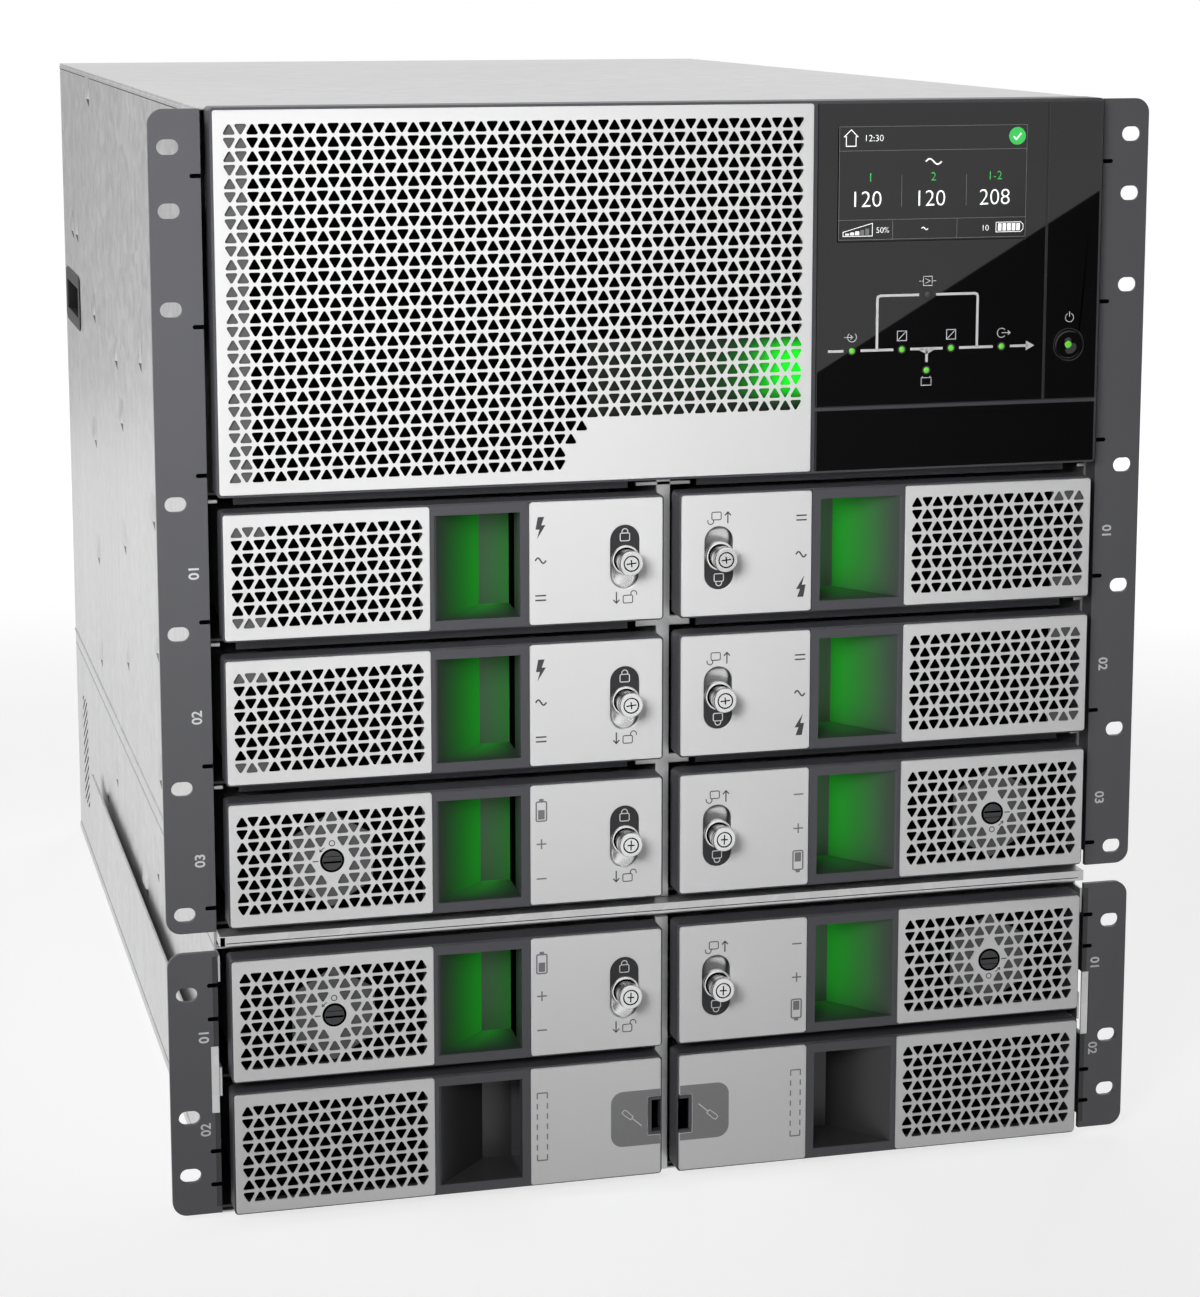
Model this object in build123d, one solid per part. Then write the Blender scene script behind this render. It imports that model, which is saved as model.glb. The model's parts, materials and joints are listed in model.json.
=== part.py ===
from build123d import *
import math
import os

# Modular power supply chassis for a 19 inch rack: an upper chassis with a header and three rows
# of slide-out modules, standing on a lower chassis with a row of batteries and a row of fillers.
# All sizes are in millimetres. X runs along the front, Y runs to the rear and Z is up.

# Rack standard
rack_width = 482.6
rack_unit = 44.45
unit_end_hole = 6.35
unit_middle_hole = 22.225
slot_edge = 8.75
slot_length = 10.0
slot_width = 7.0
ear_width = 23.3
ear_sheet = 2.5
ear_corner = 7.0
ear_flange_length = 22.0
upper_ear_gap = 5.225
upper_ear_lift = 10.9
lower_ear_gap = 2.225
lower_ear_rise = 1.2
lower_ear_lift = 4.8
ear_window_width = 4.0
ear_window_height = 33.0
ear_window_drop = 46.0
notch_length = 3.3
notch_width = 1.4
notch_drop = 21.25
lower_notch_step = 16.4

# Sheet metal chassis
chassis_setback = 11.0
sheet = 1.2
shelf_sheet = 1.5
divider_sheet = 2.0
post_width = 6.8
post_depth = 3.0
post_arm = 10.0
post_arm_height = 4.5

# Heights of the rows, from the floor up
fascia_height = 60.0
lower_row_gap = 5.0
upper_row_gap = 8.0
floor_edge = 5.6
lower_top_edge = 1.4
upper_edge = 13.75
header_gap = 7.15
header_height = 176.3
bezel_rise = 0.7

# Front of the modules
face_proud = 8.4
side_clearance = 5.0
centre_gap = 7.6
rim_depth = 14.4
rim_corner = 2.0
plate_sheet = 1.5
plate_border = 0.6
lock_plate_width = 65.1
pocket_frame_setback = 0.4
pocket_width = 41.3
pocket_depth = 25.0
pocket_edge = 5.15
pocket_grille_edge = 1.5
pocket_lock_edge = 4.2
pocket_taper = 1.85
pocket_slant = 26.6
pocket_undercut = 8.0
pocket_lip = 6.0
wall = 2.0
grille_recess_depth = 12.0
grille_recess_edge = 2.5

# Module case and its runners
case_length = 580.0
case_rear_space = 113.2
case_top_inset = 5.5
case_bottom_inset = 2.5
case_side_inset = 4.7
core_wall = 1.2
shelf_drop = 1.5
runner_width = 12.0
runner_inset = 14.0
seat_gap = 0.3

# Lock knob in its slot
lock_slot_width = 14.3
lock_slot_length = 30.5
lock_slot_edge = 18.7
lock_slot_rise = 1.4
lock_knob_rise = 0.25
lock_recess_depth = 8.0
knob_length = 12.0
knob_diameter = 12.0
knob_neck_clearance = 1.15
knob_foot_length = 13.0

# Battery switch knob in the grille
switch_diameter = 11.0
switch_gap = 0.5
switch_proud = 1.0
switch_slot_width = 2.0
switch_slot_depth = 2.0

# Triangular perforation
triangle_pitch = 15.69
triangle_row_pitch = 18.15
triangle_width = 14.4
triangle_height = 13.5
grille_margin = 3.0

# Prying slot in the plain plate of a filler
pry_width = 7.0
pry_height = 18.0
pry_rise = 0.9
pry_depth = 6.0

# Header
bezel_side_gap = 3.4
bezel_border = 1.2
panel_width = 143.0
panel_gap = 2.2
lower_panel_height = 28.7
panel_split = 1.6
bezel_recess_depth = 13.0
bare_corner_width = 108.0
bare_corner_height = 26.0
button_diameter = 14.0
button_gap = 0.5
button_edge = 14.6
button_rise = 26.6
button_depth = 6.0
button_travel = 1.5
screen_width = 94.7
screen_height = 53.7
screen_edge = 9.9
screen_drop = 11.4
screen_depth = 0.5

# Sill, rails and handles
sill_height = 5.2
sill_nose = 2.0
sill_rise = 3.6
rail_sheet = 1.5
rail_gap = 4.5
rail_height = 48.5
rail_lift = 29.0
rail_start_gap = 5.0
rail_length = 532.0
handle_length = 90.0
handle_height = 35.0
handle_rim = 6.0
handle_rim_proud = 1.0
handle_cup_depth = 24.0
handle_rear_edge = 14.0
handle_above_floor = 25.0
vent_field_length = 33.0
vent_field_height = 73.0
vent_angle = 30.0
vent_width = 2.6
vent_pitch = 6.3
vent_rear_edge = 38.4
vent_above_base = 31.5
rear_vent_width = 38.0
rear_vent_height = 26.0
rear_vent_pitch = 52.0

# Levels worked out from the sizes above
lower_rows = [floor_edge + fascia_height * (0.5 + i) + lower_row_gap * i for i in range(2)]
lower_height = lower_rows[1] + fascia_height / 2 + lower_top_edge
upper_rows = [lower_height + upper_edge + fascia_height * (0.5 + i) + upper_row_gap * i for i in range(3)]
header_bottom = upper_rows[2] + fascia_height / 2 + header_gap
header_top = header_bottom + header_height
chassis_top = header_top - bezel_rise
row_pitch = fascia_height + upper_row_gap
lower_ear_top = lower_height + lower_ear_rise

# Depths worked out from the sizes above
core_depth = pocket_depth + wall
chassis_depth = core_depth + case_length + case_rear_space + sheet - face_proud - chassis_setback
total_depth = knob_length + face_proud + chassis_setback + chassis_depth
face_y = -total_depth / 2 + knob_length
ear_y = face_y + face_proud
chassis_y = ear_y + chassis_setback
rear_y = chassis_y + chassis_depth
inside_rear_y = rear_y - sheet
case_y = face_y + core_depth

# Widths worked out from the sizes above
slot_columns = rack_width - 2 * slot_edge
chassis_width = rack_width - 2 * ear_width
bezel_width = chassis_width - 2 * bezel_side_gap
half_chassis = chassis_width / 2
inside_half = half_chassis - sheet
fascia_outer = half_chassis - side_clearance
fascia_inner = centre_gap / 2
fascia_width = fascia_outer - fascia_inner
module_x = (fascia_outer + fascia_inner) / 2
plate_half = fascia_width / 2 - plate_border
lock_plate_start = plate_half - lock_plate_width
pocket_frame_width = pocket_grille_edge + pocket_width + pocket_lock_edge
pocket_frame_start = lock_plate_start - pocket_frame_width
grille_plate_start = -plate_half
pocket_start = pocket_frame_start + pocket_grille_edge
pocket_end = pocket_start + pocket_width
plate_height = fascia_height - 2 * plate_border
pocket_height = fascia_height - 2 * pocket_edge
pocket_back_height = pocket_height - 2 * pocket_taper
core_half_height = pocket_height / 2 - pocket_taper * rim_depth / pocket_depth + core_wall
lock_x = plate_half - lock_slot_edge
switch_x = (grille_plate_start + pocket_frame_start) / 2

# The sliding modules: name, side (-1 left, 1 right), level of the row and whether it is a battery
modules = [
    ("power_a1", -1, upper_rows[2], False),
    ("power_a2", -1, upper_rows[1], False),
    ("battery_a3", -1, upper_rows[0], True),
    ("battery_a4", -1, lower_rows[1], True),
    ("power_b1", 1, upper_rows[2], False),
    ("power_b2", 1, upper_rows[1], False),
    ("battery_b3", 1, upper_rows[0], True),
    ("battery_b4", 1, lower_rows[1], True),
]


def block(x, y, z):
    """A box between the pairs of limits x, y and z."""
    middle = [(low + high) / 2 for low, high in (x, y, z)]
    size = [high - low for low, high in (x, y, z)]
    return Pos(*middle) * Box(*size)


def front_plane(y):
    """A plane at depth y that faces the front, with X across and Z up."""
    return Plane(origin=(0, y, 0), x_dir=(1, 0, 0), z_dir=(0, -1, 0))


def slab(sketch, y_front, y_back):
    """A front sketch given thickness between two depths."""
    return extrude(front_plane(y_back) * sketch, y_back - y_front)


def both_sides(solid):
    """A solid and its mirror image on the other side of the object."""
    return [solid, mirror(solid, about=Plane.YZ)]


def place(solid, side, level):
    """A module piece, made for the left, put in its bay; on the right it is turned half round."""
    turned = Rot(0, 180, 0) * solid if side > 0 else solid
    return Pos(side * module_x, face_y, level) * turned


def triangle(x, z, upright):
    """The corners of one hole of the perforation."""
    tip = triangle_height / 2 if upright else -triangle_height / 2
    half = triangle_width / 2
    return [(x - half, z - tip), (x + half, z - tip), (x, z + tip)]


def triangle_field(width, height):
    """The centres of a field of triangles, rows and columns alternating up and down."""
    columns = int((width - 2 * grille_margin - triangle_width) // triangle_pitch) + 1
    rows = int((height - 2 * grille_margin - triangle_height) // triangle_row_pitch) + 1
    for row in range(rows):
        for column in range(columns):
            x = (column - (columns - 1) / 2) * triangle_pitch
            z = (row - (rows - 1) / 2) * triangle_row_pitch
            yield x, z, (row + column) % 2 == 0


def perforated(width, height, thickness, keep, cuts=()):
    """A plate in the front plane with triangular holes where keep(x, z) holds, and round holes."""
    holes = [triangle(x, z, up) for x, z, up in triangle_field(width, height) if keep(x, z)]
    half_x, half_z = width / 2, height / 2
    corners = [(-half_x, -half_z), (half_x, -half_z), (half_x, half_z), (-half_x, half_z)]
    inner = [Wire.make_polygon([(x, thickness, z) for x, z in points]) for points in holes]
    outer = Wire.make_polygon([(x, thickness, z) for x, z in corners])
    plate = extrude(Face(outer, inner), thickness, dir=(0, -1, 0))
    for x, z, diameter in cuts:
        plate -= slab(Pos(x, z) * Circle(diameter / 2), 0, thickness)
    return plate


def slanted_slits():
    """Slits that rise to the front, cut off by the edges of their field; the sketch's X runs to the rear."""
    slope = math.radians(vent_angle)
    field = Rectangle(vent_field_length, vent_field_height)
    strip = Rot(0, 0, -vent_angle) * Rectangle(2 * vent_field_length / math.cos(slope), vent_width)
    count = int((vent_field_height + vent_field_length * math.tan(slope)) // vent_pitch)
    for i in range(count):
        yield field & (Pos(0, (i - (count - 1) / 2) * vent_pitch) * strip)


def side_panels():
    """Side sheets of both chassis, with the handle openings above and slanted vents below."""
    y = (chassis_y, rear_y)
    upper = block((-half_chassis, -inside_half), y, (lower_height + sheet, chassis_top - sheet))
    lower = block((-half_chassis, -inside_half), y, (sheet, lower_height - sheet))
    opening_y = rear_y - handle_rear_edge - handle_length + handle_rim
    opening_z = header_bottom + handle_above_floor - handle_height / 2 + handle_rim
    upper -= block(
        (-half_chassis, -inside_half),
        (opening_y, opening_y + handle_length - 2 * handle_rim),
        (opening_z, opening_z + handle_height - 2 * handle_rim),
    )
    field_y = rear_y - vent_rear_edge - vent_field_length / 2
    field_z = vent_above_base + vent_field_height / 2
    outside = Plane(origin=(-half_chassis, field_y, field_z), x_dir=(0, 1, 0), z_dir=(1, 0, 0))
    for slit in slanted_slits():
        lower -= extrude(outside * slit, sheet)
    return both_sides(upper) + both_sides(lower)


def top_covers():
    """Top sheets of both chassis."""
    x = (-half_chassis, half_chassis)
    y = (chassis_y, rear_y)
    return [block(x, y, (level - sheet, level)) for level in (chassis_top, lower_height)]


def base_plates():
    """Bottom sheets of both chassis."""
    x = (-half_chassis, half_chassis)
    y = (chassis_y, rear_y)
    return [block(x, y, (level, level + sheet)) for level in (lower_height, 0)]


def rear_panels():
    """Rear sheets with a row of exhaust openings behind each row of modules."""
    x = (-inside_half, inside_half)
    y = (inside_rear_y, rear_y)
    upper = block(x, y, (lower_height + sheet, chassis_top - sheet))
    lower = block(x, y, (sheet, lower_height - sheet))
    opening = Rectangle(rear_vent_width, rear_vent_height)
    columns = int((2 * inside_half - rear_vent_width) // rear_vent_pitch)
    header_level = (header_bottom + chassis_top) / 2
    for i in range(columns):
        across = (i - (columns - 1) / 2) * rear_vent_pitch
        for level in upper_rows + [header_level]:
            upper -= slab(Pos(across, level) * opening, *y)
        for level in lower_rows:
            lower -= slab(Pos(across, level) * opening, *y)
    return [upper, lower]


def shelves():
    """A shelf with two runners under each bay, and the floor of the header."""
    made = []
    shelf_x = (divider_sheet / 2, inside_half)
    shelf_y = (chassis_y, inside_rear_y)
    runner_starts = (
        fascia_inner + case_side_inset + runner_inset - runner_width,
        fascia_outer - case_side_inset - runner_inset,
    )
    for level in lower_rows + upper_rows:
        top = level - fascia_height / 2 - shelf_drop
        seat = level - fascia_height / 2 + case_bottom_inset - seat_gap
        shelf = block(shelf_x, shelf_y, (top - shelf_sheet, top))
        for start in runner_starts:
            shelf += block((start, start + runner_width), shelf_y, (top, seat))
        made += both_sides(shelf)
    made.append(block((-inside_half, inside_half), shelf_y, (header_bottom - shelf_sheet, header_bottom)))
    return made


def centre_dividers():
    """The upright sheet between left and right bays, with a post and short arms along its front edge."""
    made = []
    web_x = (-divider_sheet / 2, divider_sheet / 2)
    post_x = (-post_width / 2, post_width / 2)
    post_y = (chassis_y - post_depth, chassis_y)
    sill_top = lower_height + sill_rise + sill_height
    upper = (lower_height + sheet, sill_top, header_bottom - shelf_sheet)
    lower = (sheet, sheet, lower_height - sheet)
    for low, post_low, high in (upper, lower):
        web = block(web_x, (chassis_y, inside_rear_y), (low, high))
        made.append(web + block(post_x, post_y, (post_low, high)))
    arm_x = (-post_width / 2 - post_arm, post_width / 2 + post_arm)
    for level in upper_rows[1:]:
        arm_top = level - fascia_height / 2 - shelf_drop
        made[0] += block(arm_x, post_y, (arm_top - post_arm_height, arm_top))
    return made


def slot_drops(holes, gap, height):
    """How far below an ear's top its slots lie: holes of the rack, as units and place in the unit."""
    drops = [units * rack_unit + place_in_unit - gap for units, place_in_unit in holes]
    return [drop for drop in drops if slot_width < drop < height - slot_width]


upper_ear_height = chassis_top - lower_height - upper_ear_lift
lower_ear_height = lower_ear_top - lower_ear_lift
upper_holes = [
    (0, unit_middle_hole), (1, unit_end_hole), (2, unit_end_hole), (4, unit_end_hole), (5, unit_middle_hole),
    (7, unit_end_hole), (8, unit_middle_hole),
]
lower_holes = [(0, unit_middle_hole), (1, rack_unit - unit_end_hole), (2, unit_middle_hole)]
upper_drops = slot_drops(upper_holes, upper_ear_gap, upper_ear_height)
lower_drops = slot_drops(lower_holes, lower_ear_gap, lower_ear_height)
upper_notches = [upper_rows[0] + row_pitch * i - notch_drop for i in range(6)]
lower_notches = [
    lower_rows[0], lower_rows[0] - lower_notch_step, lower_rows[1], lower_rows[1] + lower_notch_step,
]


def rack_ear(height, top, drops, notches, window):
    """A left ear: a slotted plate with rounded outer corners, bent back along the chassis side."""
    outline = Rectangle(ear_width, height)
    outline = fillet(outline.vertices().group_by(Axis.X)[0], ear_corner)
    across = slot_columns / 2 - half_chassis - ear_width / 2
    for drop in drops:
        outline -= Pos(-across, height / 2 - drop) * SlotOverall(slot_length, slot_width)
    plate = slab(Pos(-half_chassis - ear_width / 2, top - height / 2) * outline, ear_y, ear_y + ear_sheet)
    flange_x = (-half_chassis - ear_sheet, -half_chassis)
    flange_z = (top - height + ear_corner, top - ear_corner)
    ear = plate + block(flange_x, (ear_y, ear_y + ear_flange_length), flange_z)
    notch_x = (-half_chassis - notch_length, -half_chassis)
    notch_y = (ear_y, ear_y + 2 * ear_sheet)
    for level in notches:
        ear -= block(notch_x, notch_y, (level - notch_width / 2, level + notch_width / 2))
    if window:
        window_top = top - ear_window_drop
        window_x = (-half_chassis - ear_window_width, -half_chassis)
        window_y = (ear_y, ear_y + ear_flange_length / 2)
        ear -= block(window_x, window_y, (window_top - ear_window_height, window_top))
    return ear


def rack_ears():
    """The two pairs of rack ears."""
    upper = rack_ear(upper_ear_height, chassis_top, upper_drops, upper_notches, False)
    lower = rack_ear(lower_ear_height, lower_ear_top, lower_drops, lower_notches, True)
    return both_sides(upper) + both_sides(lower)


def front_sill():
    """The sill strip across the foot of the upper chassis."""
    low = lower_height + sill_rise
    return [block((-inside_half, inside_half), (ear_y - sill_nose, chassis_y), (low, low + sill_height))]


def support_rails():
    """Angle rails that stand off the sides of the lower chassis on their bottom flange."""
    outer = half_chassis + rail_gap + rail_sheet
    start = ear_y + ear_flange_length + rail_start_gap
    y = (start, start + rail_length)
    upright = block((-outer, -outer + rail_sheet), y, (rail_lift, rail_lift + rail_height))
    flange = block((-outer, -half_chassis), y, (rail_lift, rail_lift + rail_sheet))
    return both_sides(upright + flange)


def carry_handles():
    """Moulded hand cups let into the sides of the upper chassis."""
    middle_y = rear_y - handle_rear_edge - handle_length / 2
    middle_z = header_bottom + handle_above_floor
    at = Pos(-half_chassis, middle_y, middle_z) * Rot(0, 90, 0)
    rim = extrude(at * RectangleRounded(handle_height, handle_length, handle_rim), -handle_rim_proud)
    cup_height = handle_height - 2 * handle_rim
    cup_length = handle_length - 2 * handle_rim
    cup = extrude(at * Rectangle(cup_height, cup_length), handle_cup_depth)
    hollow_height = cup_height - 2 * wall
    hollow_length = cup_length - 2 * wall
    hollow = Pos(-handle_rim_proud, 0, 0) * extrude(
        at * Rectangle(hollow_height, hollow_length), handle_rim_proud + handle_cup_depth - wall
    )
    return both_sides(rim + cup - hollow)


def rectangle_at(left, width, bottom, height):
    """A rectangle in the front plane, given by its lower left corner."""
    return Pos(left + width / 2, bottom + height / 2) * Rectangle(width, height)


plates_left = -bezel_width / 2 + bezel_border
plates_right = bezel_width / 2 - bezel_border
plates_bottom = header_bottom + bezel_border
plates_height = header_height - 2 * bezel_border
panel_left = plates_right - panel_width
grille_plate_width = panel_left - panel_gap - plates_left
display_bottom = plates_bottom + lower_panel_height + panel_split
display_height = plates_bottom + plates_height - display_bottom
button_x = plates_right - button_edge
button_z = display_bottom + button_rise


def header_bezel():
    """The moulded header tray, recessed behind the grille and bored for the button."""
    outline = RectangleRounded(bezel_width, header_height, rim_corner)
    middle = Pos(0, header_bottom + header_height / 2)
    bezel = slab(middle * outline, face_y + plate_sheet, chassis_y)
    recess = rectangle_at(
        plates_left + grille_recess_edge,
        grille_plate_width - 2 * grille_recess_edge,
        plates_bottom + grille_recess_edge,
        plates_height - 2 * grille_recess_edge,
    )
    bezel -= slab(recess, face_y + plate_sheet, face_y + plate_sheet + bezel_recess_depth)
    bore = Pos(button_x, button_z) * Circle(button_diameter / 2 + button_gap)
    bezel -= slab(bore, face_y + plate_sheet, face_y + button_depth + button_travel + seat_gap)
    return [bezel]


def header_grille():
    """The perforated header plate, left bare in its lower corner beside the display."""
    bare_x = grille_plate_width / 2 - grille_margin - bare_corner_width
    bare_z = -plates_height / 2 + grille_margin + bare_corner_height

    def keep(x, z):
        return x < bare_x or z > bare_z

    plate = perforated(grille_plate_width, plates_height, plate_sheet, keep)
    middle_x = plates_left + grille_plate_width / 2
    return [Pos(middle_x, face_y, plates_bottom + plates_height / 2) * plate]


def display_panel():
    """The display glass with a shallow screen window and the button's hole."""
    y = (face_y, face_y + plate_sheet)
    panel = slab(rectangle_at(panel_left, panel_width, display_bottom, display_height), *y)
    panel -= slab(Pos(button_x, button_z) * Circle(button_diameter / 2 + button_gap), *y)
    screen_left = panel_left + screen_edge
    screen_bottom = display_bottom + display_height - screen_drop - screen_height
    window = rectangle_at(screen_left, screen_width, screen_bottom, screen_height)
    return [panel - slab(window, face_y, face_y + screen_depth)]


def lower_panel():
    """The plain panel under the display."""
    outline = rectangle_at(panel_left, panel_width, plates_bottom, lower_panel_height)
    return [slab(outline, face_y, face_y + plate_sheet)]


def power_button():
    """The round power button."""
    button = slab(Pos(button_x, button_z) * Circle(button_diameter / 2), face_y, face_y + button_depth)
    return [button]


def fascia_body(half_height, lock, switch):
    """A left module front about its own middle: rim, core and finger pocket, open behind the grille."""
    rim = slab(RectangleRounded(fascia_width, fascia_height, rim_corner), plate_sheet, rim_depth)
    frame_x = (pocket_frame_start, lock_plate_start)
    frame = block(frame_x, (pocket_frame_setback, plate_sheet), (-plate_height / 2, plate_height / 2))
    core_half = fascia_width / 2 - case_side_inset
    core = block((-core_half, core_half), (rim_depth, core_depth), (-half_height, half_height))
    pocket = [
        (pocket_start, 0),
        (pocket_start + pocket_slant, pocket_depth),
        (pocket_end + pocket_undercut, pocket_depth),
        (pocket_end + pocket_undercut, pocket_lip),
        (pocket_end, pocket_lip),
        (pocket_end, 0),
    ]
    tapered = [
        (0, -pocket_height / 2),
        (pocket_depth, -pocket_back_height / 2),
        (pocket_depth, pocket_back_height / 2),
        (0, pocket_height / 2),
    ]
    plan = Pos(0, 0, -pocket_height / 2) * extrude(make_face(Polyline(*pocket, close=True)), pocket_height)
    section = extrude(Plane.YZ * make_face(Polyline(*tapered, close=True)), fascia_width, both=True)
    hollow = plan & section
    recess_x = (grille_plate_start + grille_recess_edge, pocket_frame_start - grille_recess_edge)
    recess_z = plate_height / 2 - grille_recess_edge
    body = rim + frame + core - hollow
    body -= block(recess_x, (plate_sheet, grille_recess_depth), (-recess_z, recess_z))
    if lock:
        guide = Pos(lock_x, lock_slot_rise) * Rectangle(lock_slot_width, lock_slot_length)
        body -= slab(guide, plate_sheet, lock_recess_depth)
    else:
        body -= slab(pry_slot(), plate_sheet, pry_depth)
    if switch:
        seat = Pos(switch_x, 0) * Rectangle(switch_diameter, switch_diameter)
        body += slab(seat, grille_recess_depth - wall, grille_recess_depth)
    return body


def pry_slot():
    """The outline of the slot in a filler's inner edge that a screwdriver pries at."""
    return Pos(plate_half - pry_width / 2, pry_rise) * Rectangle(pry_width, pry_height)


def lock_slot():
    """The outline of the slot that the lock knob slides in."""
    return Pos(lock_x, lock_slot_rise) * Rot(0, 0, 90) * SlotOverall(lock_slot_length, lock_slot_width)


def module_plates(lock, switch):
    """The perforated plate and the plain lock plate of a left module."""
    width = pocket_frame_start - grille_plate_start
    clear = switch_diameter / 2 + switch_gap + triangle_height / 2

    def keep(x, z):
        return not switch or math.hypot(x, z) > clear

    cuts = [(0, 0, switch_diameter + 2 * switch_gap)] if switch else []
    grille = Pos(switch_x, 0, 0) * perforated(width, plate_height, plate_sheet, keep, cuts)
    outline = Pos(lock_plate_start + lock_plate_width / 2, 0) * Rectangle(lock_plate_width, plate_height)
    outline -= lock_slot() if lock else pry_slot()
    return [grille, slab(outline, 0, plate_sheet)]


def module_case(side, level):
    """The sheet metal case of a module, closed, resting on its runners."""
    inner = fascia_inner + case_side_inset
    outer = fascia_outer - case_side_inset
    low = level - fascia_height / 2 + case_bottom_inset
    high = level + fascia_height / 2 - case_top_inset
    x = (inner, outer) if side > 0 else (-outer, -inner)
    return [block(x, (case_y, case_y + case_length), (low, high))]


def lock_knob():
    """A round thumb knob on a neck through its slot, with a foot that slides behind the plate."""
    behind_plate = plate_sheet + seat_gap
    head = slab(Circle(knob_diameter / 2), -knob_length, -seat_gap)
    neck = slab(Circle(lock_slot_width / 2 - knob_neck_clearance), -seat_gap, behind_plate)
    outline = Rectangle(lock_slot_width - 2 * seat_gap, knob_foot_length)
    foot = slab(outline, behind_plate, lock_recess_depth - seat_gap)
    return Pos(lock_x, 0, lock_knob_rise) * (head + neck + foot)


def switch_knob():
    """The battery switch: a round knob with a screwdriver slot."""
    knob = slab(Circle(switch_diameter / 2), -switch_proud, grille_recess_depth - wall - seat_gap)
    slot = Rectangle(switch_diameter, switch_slot_width)
    knob -= slab(slot, -switch_proud, -switch_proud + switch_slot_depth)
    return Pos(switch_x, 0, 0) * knob


def write(name, solids):
    """Write one node's solids as a STEP file."""
    flat = [one for solid in solids for one in solid.solids()]
    export_step(Compound(children=flat) if len(flat) > 1 else flat[0], f"parts/{name}.step")


def main():
    """Build every node and write it."""
    os.makedirs("parts", exist_ok=True)
    for make in (
        side_panels, top_covers, base_plates, rear_panels, shelves, centre_dividers, rack_ears, front_sill,
        support_rails, carry_handles, header_bezel, header_grille, display_panel, lower_panel, power_button,
    ):
        write(make.__name__, make())

    filler_half_height = fascia_height / 2 - case_bottom_inset + seat_gap
    plain_plates = module_plates(False, False)
    filler = fascia_body(filler_half_height, False, False)
    write("filler_fascias", [place(filler, side, lower_rows[0]) for side in (-1, 1)])
    write("filler_plates", [place(plate, side, lower_rows[0]) for side in (-1, 1) for plate in plain_plates])

    for battery in (False, True):
        fascia = fascia_body(core_half_height, True, battery)
        plates = module_plates(True, battery)
        for name, side, level, is_battery in modules:
            if is_battery != battery:
                continue
            write(f"{name}_case", module_case(side, level))
            write(f"{name}_fascia", [place(fascia, side, level)])
            write(f"{name}_plates", [place(plate, side, level) for plate in plates])
            write(f"{name}_lock", [place(lock_knob(), side, level)])
            if battery:
                write(f"{name}_switch", [place(switch_knob(), side, level)])


if __name__ == "__main__":
    main()
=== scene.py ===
"""Dress a rack power supply: perforated fronts, lit finger pockets, lock knobs, display and studio.

All shapes are worked out in millimetres, X to the right along the front, Y to the rear and Z up, and are
turned into metres when a mesh is made. The front of the modules lies in one plane, and a left module is
described about its own middle; a right module is the same one turned half round.
"""

from __future__ import annotations

import json
import logging
import math
from dataclasses import dataclass, field
from enum import Enum

import bmesh
import bpy
import numpy as np
from numpy.typing import NDArray
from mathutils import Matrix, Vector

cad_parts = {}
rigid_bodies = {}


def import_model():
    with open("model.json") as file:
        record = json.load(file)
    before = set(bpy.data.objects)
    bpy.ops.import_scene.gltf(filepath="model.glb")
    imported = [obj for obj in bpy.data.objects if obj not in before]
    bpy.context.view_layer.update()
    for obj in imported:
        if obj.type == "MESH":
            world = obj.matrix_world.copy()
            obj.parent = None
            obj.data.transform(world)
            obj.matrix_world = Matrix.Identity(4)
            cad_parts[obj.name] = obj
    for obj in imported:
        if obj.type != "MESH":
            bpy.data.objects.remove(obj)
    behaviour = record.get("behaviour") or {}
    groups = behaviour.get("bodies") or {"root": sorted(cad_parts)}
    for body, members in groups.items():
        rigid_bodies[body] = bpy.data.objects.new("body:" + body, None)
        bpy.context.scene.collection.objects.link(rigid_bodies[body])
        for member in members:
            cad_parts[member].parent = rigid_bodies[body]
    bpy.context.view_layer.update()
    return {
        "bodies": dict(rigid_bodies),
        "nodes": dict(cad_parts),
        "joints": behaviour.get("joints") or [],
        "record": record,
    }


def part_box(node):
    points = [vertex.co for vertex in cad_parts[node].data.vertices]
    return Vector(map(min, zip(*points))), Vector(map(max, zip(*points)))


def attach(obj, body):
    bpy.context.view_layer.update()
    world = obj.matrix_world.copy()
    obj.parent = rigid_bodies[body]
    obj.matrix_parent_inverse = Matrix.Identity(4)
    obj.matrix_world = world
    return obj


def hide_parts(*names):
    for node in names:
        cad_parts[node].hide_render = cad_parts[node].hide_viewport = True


Array = NDArray[np.float64]
Indices = NDArray[np.int64]
Colour = tuple[float, float, float]
Pair = tuple[float, float]
Pairs = tuple[Pair, ...]
Point = tuple[float, float, float]
Node = bpy.types.Node
Socket = bpy.types.NodeSocket
Tree = bpy.types.NodeTree
Material = bpy.types.Material

LOG = logging.getLogger("scene")
MM = 0.001
WELD_STEP = 0.0005
SMOOTH_ANGLE = math.radians(32.0)
BEVEL_ANGLE = math.radians(40.0)
MERGE_STEP = 0.01

# How far print stands proud of its surface, and a stroke that crosses another one
PRINT = 0.05
OVERPRINT = 0.06

# Points round a cell of a perforated plate, and along each corner of such a plate
CELL_POINTS = 12
CORNER_POINTS = 5

DUST: Colour = (0.42, 0.41, 0.39)
PALE_DUST: Colour = (0.5, 0.49, 0.47)
WHITE: Colour = (1.0, 1.0, 1.0)
NO_LIGHT: Colour = (0.0, 0.0, 0.0)


class Side(Enum):
    """The column of bays that a module stands in."""

    LEFT = -1
    RIGHT = 1


class Kind(Enum):
    """What a bay holds."""

    POWER = "power"
    BATTERY = "battery"
    FILLER = "filler"


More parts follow.
